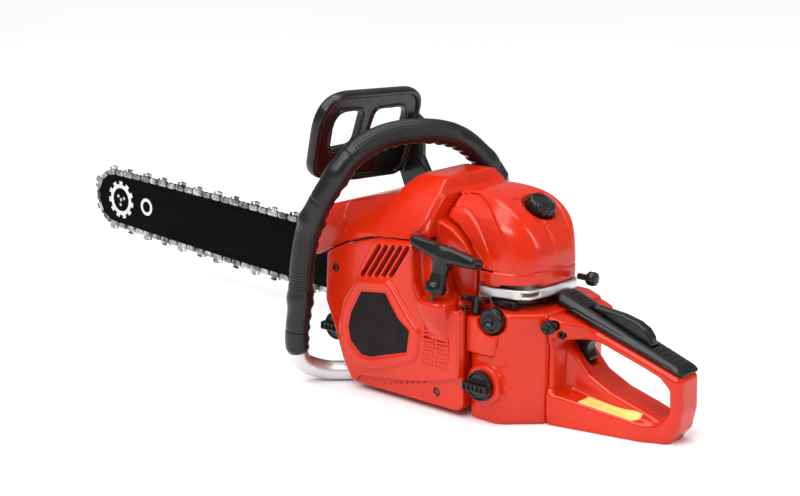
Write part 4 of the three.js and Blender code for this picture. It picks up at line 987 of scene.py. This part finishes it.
def grip_frame():
    """Where the starter handle sits: its own X runs across, its Z along the pull."""
    pull = Vector((0.14, 0.26, 0.955)).normalized()
    across = Vector((1, 0, -0.15))
    across = (across - pull * across.dot(pull)).normalized()
    turn = Matrix((across, pull.cross(across), pull)).transposed().to_4x4()
    return Matrix.Translation(Vector((71.3, -104.5, 118)) * MM) @ turn


def starter_grip():
    """The T-shaped handle of the starter, drawn upright round its own axis and then leant over."""
    s = Space((-44, -13, -2), (44, 13, 59), 0.8)
    stem = np.minimum(s.rod((0, 0, 14), (0, 0, 28), 9.0, 7.8), s.rod((0, 0, 28), (0, 0, 46), 7.8, 11))
    body = join(stem, s.disc_z(10.4, 8.5, 17, 0, 0, 2), 3)
    body = both(body, 8.5 - s.z)
    bar = [(-41, 44), (-10, 40), (10, 40), (41, 44), (41, 55), (10, 56.5), (-10, 56.5), (-41, 55)]
    body = join(body, s.prism_y(fillet(bar, 6), -9.6, 9.6, 5), 5)
    body = both(body, s.z - 55.4, 1.5)
    body = cut(body, s.rod((0, 0, 52), (0, 0, 70), 3.6), 0.8)
    body = cut(body, s.rod((0, 0, -10), (0, 0, 60), 2.1))
    piece = s.mesh("starter_t_handle", body)
    piece.data.transform(grip_frame())
    dress(piece, "black", "pull_grip", "starter_handle")


def starter_cord():
    """The rope: its run inside the housing stays, and its last stretch is drawn out with the handle."""
    seat = grip_frame()
    knot = [tuple(seat @ Vector((0, 0, z * MM)) / MM) for z in (0, 8, 20, 35, 50)]
    route = curve_through(ROPE_ROUTE[:-1] + knot, 1.0)
    piece = swept("starter_cord", route, ROPE_RADIUS, 16)
    paint(piece, "cord")
    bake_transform(piece)
    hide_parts("starter_rope")


# ---- front handle

FRONT_LOOP = [
    (-50, -52, 10.5), (-66, -70, 11), (-86, -90, 12), (-99, -110, 23), (-99, -118, 44),
    (-94, -118.5, 85), (-87, -118.5, 140), (-76, -118, 176), (-56, -113, 212), (-40, -94, 245),
    (-28, -62, 260), (-10, -25, 263), (2, 14, 253), (7, 46, 230), (12, 68, 203), (24, 80, 170),
    (48, 84, 142), (74, 80, 118), (90, 74, 100),
]


def tube_foot():
    """The bracket that holds the lower right end of the front handle to the tank."""
    s = Space((72, 54, 82), (110, 88, 116), 0.8)
    body = join(s.box((78, 56, 86), (106, 70, 108), 3), s.rod((84.5, 75.3, 106), (91, 73.6, 97), 12.4), 4)
    body = both(body, 57 - s.y)
    dress(s.mesh("tube_foot", body), "black")
    socket_screw("screw_tube", (98, 71, 97), (0, 1, 0), 3.4)


def swept(name, path, radius, sides=40):
    """A skin round a path; its radius is a number, or a function of run, angle and length."""
    line = np.asarray(path)
    run = np.concatenate([[0], np.cumsum(np.linalg.norm(np.diff(line, axis=0), axis=1))])
    tangents = np.gradient(line, axis=0)
    tangents /= np.linalg.norm(tangents, axis=1)[:, None]
    outward = Vector((0, -1, 0.3))
    rings = []
    for i, (centre, along) in enumerate(zip(line, tangents)):
        along = Vector(along)
        outward = (outward - along * outward.dot(along)).normalized()
        side = along.cross(outward)
        ring = []
        for k in range(sides):
            angle = 2 * math.pi * k / sides
            r = radius(run[i], angle, run[-1]) if callable(radius) else radius
            ring.append(tuple(Vector(centre) + (outward * math.cos(angle) + side * math.sin(angle)) * r))
        rings.append(ring)
    return lofted(name, rings)


KNURL = 3.0
KNURLS_AROUND = 26


def smooth_step(low, high, value):
    """Rises smoothly from 0 to 1 between two values."""
    t = min(1.0, max(0.0, (value - low) / (high - low)))
    return t * t * (3 - 2 * t)


def grip_radius(run, angle, length):
    """Radius of the rubber grip: bulges, knurled patches, band seams and finger scallops inside."""
    ends = min(run, length - run)
    radius = 11.0 + 1.5 * smooth_step(0, 4, ends)
    for bulge, height in ((0.135, 1.7), (0.335, 1.9), (0.47, 1.2), (0.93, 0.9)):
        radius += height * math.exp(-((run - bulge * length) / 8) ** 2)
    for seam in (0.055, 0.395, 0.52, 0.955):
        radius -= 0.8 * math.exp(-((run - seam * length) / 0.9) ** 2)
    inner = smooth_step(0.15, 0.75, -math.cos(angle))
    radius += inner * 0.7 * math.cos(2 * math.pi * run / 13)
    fraction = run / length
    patch = smooth_step(0.155, 0.165, fraction) - smooth_step(0.305, 0.315, fraction)
    patch += smooth_step(0.53, 0.54, fraction) - smooth_step(0.80, 0.81, fraction)
    u, v = run / KNURL, angle * KNURLS_AROUND / (2 * math.pi)
    weave = math.cos(math.pi * (u + v)) * math.cos(math.pi * (u - v))
    return radius + patch * (1 - inner) * 0.5 * weave


def front_handle():
    """The bare tube, and the rubber grip over its left and upper run."""
    coarse, fine = curve_through(FRONT_LOOP, 2.5), curve_through(FRONT_LOOP, 0.8)
    bare = coarse[round(0.03 * (len(coarse) - 1)):]
    held = fine[round(0.145 * (len(fine) - 1)):round(0.80 * (len(fine) - 1))]
    dress(swept("front_tube", bare, 9.9, 32), "tube", "saw_body", "front_handle_tube")
    dress(swept("front_grip", held, grip_radius, 104), "rubber", "saw_body", "front_handle_grip")


# ---- hand guard and sprocket cover

def hand_guard():
    """The framed guard with its two windows, drawn upright round its pivot and then leant back."""
    s = Space((-61, -99, -16), (15, 71, 157), 1.1)
    edge = fillet([(-85, 63), (-99, 158), (61.5, 147), (62, 44), (-17, 49)], [25, 44, 30, 18, 60], 12)
    left = fillet([(-66, 92), (-72, 136), (-29, 132), (-28, 92)], [9, 26, 8, 8], 9)
    right = fillet([(-12, 92), (-10, 131), (42, 128), (42, 92)], [8, 9, 30, 9], 9)
    sheet = s.prism_x(edge, -54.5, -48, 2)
    rim = both(s.prism_x(edge, -57, -45, 2), -s.prism_x(grown(edge, -6), -90, 0), 1)
    panel = join(sheet, rim, 2)
    for window in (left, right):
        collar = cut(s.prism_x(grown(window, 4), -56.2, -46, 1.5), s.prism_x(window, -90, 0))
        panel = join(panel, collar, 1.5)
        panel = cut(panel, s.prism_x(window, -90, 0), 1.5)
    for y in (-62, -46, 6, 22):
        panel = join(panel, s.box((-56.6, y - 1.3, 62 + 0.1 * y), (-50, y + 1.3, 86), 1.2), 1.5)
    panel = join(panel, s.box((-56.4, -78, 75), (-50, 54, 77.4), 1), 1.2)
    for y in (-64, -46, -28, -10, 8, 26, 44):
        panel = join(panel, s.box((-56.4, y - 1.2, 134), (-50, y + 1.2, 146), 1), 1.2)
    arm_side = [(-14, -10), (9, -10), (12, 4), (-5, 60), (-25, 76), (-40, 122), (-46, 140), (-57, 146),
                (-57, 56), (-41, 38), (-14, 10)]
    arm = both(s.prism_y(fillet(arm_side, 6), 58, 68, 3), s.z - 116, 6)
    arm = join(arm, s.disc_y(12, 58, 68, 0, 0, 2), 3)
    arm = cut(arm, both(s.prism_y(grown(arm_side, -9), 64.5, 90, 1), s.z - 120), 1)
    body = join(panel, arm, 4)
    body = cut(body, s.disc_y(4.3, 40, 90, 0, 0))
    piece = s.mesh("guard_moulding", body)
    turn = Matrix.Rotation(GUARD_LEAN, 4, "Y")
    piece.data.transform(Matrix.Translation(Vector(GUARD_PIVOT) * MM) @ turn)
    dress(piece, "black", "guard", "hand_guard")


def sprocket_cover():
    """The cover over the clutch and the sprocket, with vents and a raised pad for the bar nuts."""
    s = Space((-121, 54, 20), (54, 86, 157), 1.3)
    side = [(-112, 30), (-60, 24), (20, 22), (44, 38), (52, 70), (46, 100), (20, 116), (-30, 128),
            (-58, 154), (-96, 152), (-118, 116)]
    body = s.prism_y(fillet(side, 10), 57, 84, 6)
    inner = [(-104, 38), (-58, 32), (16, 30), (36, 42), (43, 70), (38, 94), (16, 108), (-32, 120),
             (-60, 144), (-92, 143), (-110, 113)]
    body = cut(body, s.prism_y(fillet(inner, 8), 82.2, 95, 0.6), 1)
    for k in range(7):
        x = -16 + 9 * k
        vent = s.rod((x, 86, 44 + 0.5 * k), (x + 6, 86, 98 - 2.2 * k), 1.9)
        body = cut(body, vent, 1)
    body = join(body, s.prism_y(fillet([(-100, 62), (-52, 60), (-52, 84), (-100, 88)], 6), 78, 84, 1), 1.5)
    hollow = [(-104, 39), (-58, 33), (16, 31), (36, 43), (43, 70), (38, 94), (16, 107), (-32, 118),
              (-62, 142), (-90, 141), (-108, 112)]
    body = cut(body, s.prism_y(fillet(hollow, 8), 40, 77.5), 1)
    body = cut(body, s.box((-125, 50, 116), (-66, 75, 170)))
    for x, z in ((-62, 72.7), (-92, 74)):
        body = cut(body, s.disc_y(4.3, 40, 100, x, z))
    dress(s.mesh("clutch_cover", body), "red", "saw_body", "sprocket_cover")


# ---- bar furniture and chain

BAR_FRAME = Matrix.Translation(Vector((0, 52, CRANK_Z)) * MM) @ Matrix.Rotation(math.radians(2.5), 4, "Y")
BAR_NOSE = -600
BAR_ROOT, BAR_MIDDLE, NOSE_RADIUS, SPROCKET_RADIUS = 31, 33, 30, 18.6


def chain_line(grow):
    """The closed line that the chain follows in the bar's own plane, as [x, z] points."""
    root, tip, sprocket = BAR_ROOT + grow, NOSE_RADIUS + grow, SPROCKET_RADIUS + grow
    middle = 2 * BAR_MIDDLE - (BAR_ROOT + NOSE_RADIUS) / 2 + grow
    t = np.linspace(0, 1, 60)[:, None]
    run = (1 - t) ** 2 * np.array([-110, root]) + 2 * t * (1 - t) * np.array([-355, middle])
    run = run + t ** 2 * np.array([BAR_NOSE, tip])
    turn = np.linspace(math.pi / 2, 1.5 * math.pi, 40)[1:-1]
    nose = np.stack([BAR_NOSE + tip * np.cos(turn), tip * np.sin(turn)], axis=1)
    back = run[::-1] * np.array([1, -1])
    turn = np.linspace(-math.pi / 2, math.pi / 2, 30)
    start = -4 * (np.abs(turn) > 1.56)
    drive = np.stack([start + sprocket * np.cos(turn), sprocket * np.sin(turn)], axis=1)
    return np.concatenate([run, nose, back, drive, run[:1]])


def plate(outline_points, y0, y1):
    """A flat plate as points [along, y, up] and faces."""
    n = len(outline_points)
    points = [(u, y, v) for y in (y0, y1) for u, v in outline_points]
    faces = [tuple(range(n)), tuple(range(2 * n - 1, n - 1, -1))]
    faces += [(k, n + k, n + (k + 1) % n, (k + 1) % n) for k in range(n)]
    return points, faces


def round_outline(radius, u, v, count):
    """Points on a circle in the bar's plane."""
    turns = [2 * math.pi * k / count for k in range(count)]
    return [(u + radius * math.cos(t), v + radius * math.sin(t)) for t in turns]


def merged(*parts):
    """Several lists of points and faces as one."""
    points, faces = [], []
    for more_points, more_faces in parts:
        base = len(points)
        points += more_points
        faces += [tuple(base + k for k in face) for face in more_faces]
    return points, faces


def tie_strap(half, sign):
    """One side plate: waisted between its two rivets."""
    waist = [(-half - 3.2, 0.4), (-half - 2.3, 2.6), (-half, 3.4), (-1.2, 2.7), (1.2, 2.7), (half, 3.4),
             (half + 2.3, 2.6), (half + 3.2, 0.4), (half + 2.6, -2.2), (half, -3.2), (-half, -3.2),
             (-half - 2.6, -2.2)]
    return plate(waist, *sorted((sign * 0.95, sign * 2.25)))


def cutter(half, sign):
    """A cutting link: side plate, raked top plate that folds over, and depth gauge."""
    side = [(-half - 3.4, -3.1), (half + 3.4, -3.1), (half + 3.6, 1.2), (half + 3.2, 6.2),
            (half + 0.6, 6.6), (half - 0.4, 3.0), (1.4, 2.4), (0.2, 4.4), (-0.6, 7.4),
            (-half - 3.2, 6.8), (-half - 3.9, 1.6)]
    body = plate(side, *sorted((sign * 0.95, sign * 2.35)))
    top = [(-half - 3.2, 6.1), (-0.6, 6.9), (-0.3, 8.0), (-half - 3.2, 7.1)]
    over = plate(top, *sorted((sign * -1.1, sign * 3.2)))
    skirt = [(-half - 3.0, 3.2), (-0.9, 4.2), (-0.5, 7.2), (-half - 3.2, 6.6)]
    return merged(body, over, plate(skirt, *sorted((sign * 2.2, sign * 3.1))))


def drive_link(half):
    """A middle link with its tang in the bar's groove."""
    tang = [(-half - 2.9, 1.6), (-half, 3.0), (half, 3.0), (half + 2.9, 1.6), (half + 2.4, -2.6),
            (half - 0.6, -4.6), (1.0, -8.2), (-1.2, -8.6), (-half + 0.6, -5.4), (-half - 2.4, -2.6)]
    return plate(tang, -0.8, 0.8)


def rivets(half):
    """The two rivets of a side plate."""
    return merged(*[plate(round_outline(1.75, side * half, 0, 10), -2.75, 2.75) for side in (-1, 1)])


LINE_STEP = 0.5
CHAIN_LIFT = 3.9
USUAL_PITCH = 8.255
GROUP = 8


def saw_chain():
    """The chain, link by link: left cutter, strap, right cutter, strap, with drive links between."""
    line = respaced([Vector(p) for p in chain_line(CHAIN_LIFT)], LINE_STEP)
    length = LINE_STEP * (len(line) - 1)
    groups = round(length / (GROUP * USUAL_PITCH))
    pitch = length / (GROUP * groups)
    half = pitch / 2
    plain = merged(tie_strap(half, -1), tie_strap(half, 1))
    straps = [merged(cutter(half, -1), tie_strap(half, 1)), plain,
              merged(cutter(half, 1), tie_strap(half, -1)), plain]
    bright, dark = [], []
    for k in range(GROUP * groups):
        centre = (k + 0.5) * pitch
        index = [int((centre + shift) / LINE_STEP) % (len(line) - 1) for shift in (-half, half)]
        a, b = Vector(line[index[0]]), Vector(line[index[1]])
        along = (b - a).normalized()
        middle = (a + b) / 2
        up = Vector((along.y, -along.x))
        if up.dot(middle - Vector((max(BAR_NOSE, min(-10, middle.x)), 0))) < 0:
            up = -up
        links = [straps[k // 2 % 4], rivets(half)] if k % 2 == 0 else [drive_link(half)]
        for points, faces in links:
            placed = [(middle.x + along.x * u + up.x * v, y, middle.y + along.y * u + up.y * v)
                      for u, y, v in points]
            (dark if k % 2 else bright).append((placed, faces))
    on_bar("chain_links", bright, "chain_steel", "saw_body", "chain")
    on_bar("drive_links", dark, "dark_steel")


def on_bar(name, parts, *dressing):
    """A piece drawn in the bar's own frame, put in its place and dressed."""
    piece = built(name, parts)
    piece.data.transform(BAR_FRAME)
    dress(piece, *dressing)


def ring_patch(centre, low, high, angles):
    """A part of a flat ring round a point on the bar's middle line."""
    outer = [(centre + high * math.cos(t), high * math.sin(t)) for t in angles]
    return outer + [(centre + low * math.cos(t), low * math.sin(t)) for t in reversed(angles)]


RING_TEETH = 11


def bar_furniture():
    """Rivets at the nose, a plain toothed ring printed round them and a small ring, on both faces."""
    heads, prints = [], []
    nose_hub = BAR_NOSE + 12
    for sign in (-1, 1):
        face = sign * 2.1
        for radius, count in ((0, 1), (6.5, 3)):
            for k in range(count):
                angle = 2 * math.pi * k / count + 0.4
                u, v = nose_hub + radius * math.cos(angle), radius * math.sin(angle)
                heads.append(plate(round_outline(2.1, u, v, 16), *sorted((face, face + sign * 0.25))))
        patches = []
        for k in range(RING_TEETH):
            a0, a1, a2 = (2 * math.pi * (k + part) / RING_TEETH for part in (0, 0.5, 1))
            for high, start, end in ((20, a0, a1), (24, a1, a2)):
                arc = [start + (end - start) * j / 5 for j in range(6)]
                patches.append(ring_patch(nose_hub, 15, high, arc))
        for k in range(24):
            arc = [2 * math.pi * (k + j / 3) / 24 for j in range(4)]
            patches.append(ring_patch(BAR_NOSE + 62, 7, 11, arc))
        prints += [plate(patch, *sorted((face, face + sign * 0.06))) for patch in patches]
    on_bar("nose_rivets", heads, "steel")
    on_bar("nose_print", prints, "white_print")


# ---- screws

def socket_screw(name, place, axis, radius):
    """A cap screw head with a six-sided socket."""
    sides = 48
    rings = []
    for r, h, hexed in ((0.01, -6, 0), (radius, -6, 0), (radius, -0.5, 0), (radius - 0.5, 0, 0),
                        (radius * 0.62, 0, 1), (radius * 0.58, -2.6, 1), (0.01, -2.8, 0)):
        ring = []
        for k in range(sides):
            angle = 2 * math.pi * k / sides
            flat = math.cos(math.pi / 6) / math.cos((angle % (math.pi / 3)) - math.pi / 6) if hexed else 1
            ring.append((r * flat * math.cos(angle), r * flat * math.sin(angle), h))
        rings.append(ring)
    piece = stood(lofted(name, rings), place, axis)
    piece.data.shade_flat()
    dress(piece, "dark_steel")


def screws():
    """The screws of the left side."""
    for name, place, radius in (
        ("screw_front", (-70.5, -90.6, 124), 4.0), ("screw_low", (64, -88.4, 21), 4.0),
        ("screw_handle", (178, -39.5, 91), 3.2), ("screw_tank", (98.9, -90.4, 112.9), 2.6),
    ):
        socket_screw(name, place, (0, -1, 0), radius)


# ---- the assembly

KEPT_LOOK = {
    "aluminium": ["crankcase", "piston", "cylinder", "flywheel", "carburettor", "oil_pump",
                  "chain_catcher"],
    "steel": ["bearing_left", "bearing_right", "crank_half_left", "crank_half_right", "crank_pin",
              "wrist_pin", "recoil_spring", "throttle_rod", "trigger_pin", "nose_sprocket", "clutch_drum",
              "brake_band", "bar_nut_front", "bar_nut_rear", "bar_stud_front", "bar_stud_rear",
              "spiked_bumper", "guard_pin"],
    "dark_steel": ["connecting_rod", "muffler", "clutch_hub"],
    "black": ["ignition_coil", "starter_pulley", "throttle_trigger"],
    "rubber": ["plug_boot", "intake_boot"],
    "ceramic": ["spark_plug"],
    "felt": ["air_filter"],
    "bar": ["guide_bar"],
}
EDGE_RADIUS = 0.0005
WELD_DISTANCE = 0.00001


def kept_nodes():
    """Every CAD node that stays gets rounded edges and the material of its kind."""
    look_of = {name: look for look, names in KEPT_LOOK.items() for name in names}
    for name, node in NODES.items():
        if node.hide_render:
            continue
        paint(node, look_of[name])
        weld = node.modifiers.new("weld", "WELD")
        weld.merge_threshold = WELD_DISTANCE
        bevel = node.modifiers.new("edges", "BEVEL")
        bevel.width = EDGE_RADIUS
        bevel.segments = 2
        bevel.limit_method = "ANGLE"
        bevel.angle_limit = math.radians(30)


def hung(name, lamp, place, direction):
    """Puts a lamp at a place, shining in a direction."""
    holder = bpy.data.objects.new(name, lamp)
    holder.location = place
    holder.rotation_euler = Vector(direction).to_track_quat("-Z", "Y").to_euler()
    bpy.context.scene.collection.objects.link(holder)


FLOOR_REACH = 20
SURROUND_LIGHT = 0.32
SURROUND_SEEN = 1.0
SAW_MIDDLE = (-0.1, 0, 0.12)


def studio():
    """A pale floor, a bright surround, and soft light from above, the front left and behind."""
    corners = [(x * FLOOR_REACH, y * FLOOR_REACH, 0) for x, y in ((-1, -1), (1, -1), (1, 1), (-1, 1))]
    floor = mesh_object("floor", np.array(corners), np.array([(0, 1, 2, 3)]))
    pale = Finish("floor_pale", Roughness=0.9)
    pale.tint(pale.noise(0.8, 2), (0.93, 0.93, 0.93), (0.95, 0.95, 0.95))
    floor.data.materials.append(pale.material)
    world = bpy.data.worlds.new("surround")
    bpy.context.scene.world = world
    world.use_nodes = True
    nodes, links = world.node_tree.nodes, world.node_tree.links
    mixed = nodes.new("ShaderNodeMixShader")
    links.new(nodes.new("ShaderNodeLightPath").outputs["Is Camera Ray"], mixed.inputs["Fac"])
    backgrounds = (nodes["Background"], nodes.new("ShaderNodeBackground"))
    for slot, background, strength in zip((1, 2), backgrounds, (SURROUND_LIGHT, SURROUND_SEEN)):
        background.inputs["Color"].default_value = (1, 1, 1, 1)
        background.inputs["Strength"].default_value = strength
        links.new(background.outputs["Background"], mixed.inputs[slot])
    links.new(mixed.outputs["Shader"], nodes["World Output"].inputs["Surface"])
    sun = bpy.data.lights.new("sun", "SUN")
    sun.energy = 2.5
    sun.angle = math.radians(55)
    hung("sun", sun, (0, 0, 0), (0.25, 0.75, -1.5))
    for name, place, size, power in (
        ("strip", (0.5, -1.5, 1.3), (1.2, 0.25), 12), ("rear_strip", (1.7, 0.5, 1.1), (0.25, 1.2), 9),
        ("top", (-0.1, 0.3, 1.8), (1.6, 0.6), 12),
    ):
        lamp = bpy.data.lights.new(name, "AREA")
        lamp.shape = "RECTANGLE"
        lamp.size, lamp.size_y = size
        lamp.energy = power
        hung(name, lamp, place, Vector(SAW_MIDDLE) - Vector(place))


def camera():
    """A long lens from the front left, a little above the saw."""
    lens = bpy.data.cameras.new("camera")
    lens.lens = 76.5
    lens.sensor_width = 36
    lens.clip_start = 0.05
    holder = bpy.data.objects.new("camera", lens)
    holder.location = (1.09637, -1.28803, 0.56079)
    holder.rotation_euler = Vector((-0.6493, 0.7211, -0.2419)).to_track_quat("-Z", "Y").to_euler()
    bpy.context.scene.collection.objects.link(holder)
    bpy.context.scene.camera = holder


housing_ribs(starter_housing())
label()
cylinder_cover()
air_filter_cover()
band()
filter_knob()
fuel_tank()
yellow_label(rear_handle())
handle_cover()
lockout_lever()
latch_and_damper()
filler_cap("fuel_cap_ladder", "fuel_cap", "fuel_filler_cap", FUEL_CAP, -91)
filler_cap("oil_cap_ladder", "oil_cap", "oil_filler_cap", OIL_CAP, -63)
choke()
stop_switch()
starter_grip()
starter_cord()
front_handle()
tube_foot()
hand_guard()
sprocket_cover()
saw_chain()
bar_furniture()
screws()
kept_nodes()
studio()
camera()
bpy.context.scene.view_settings.view_transform = "Standard"
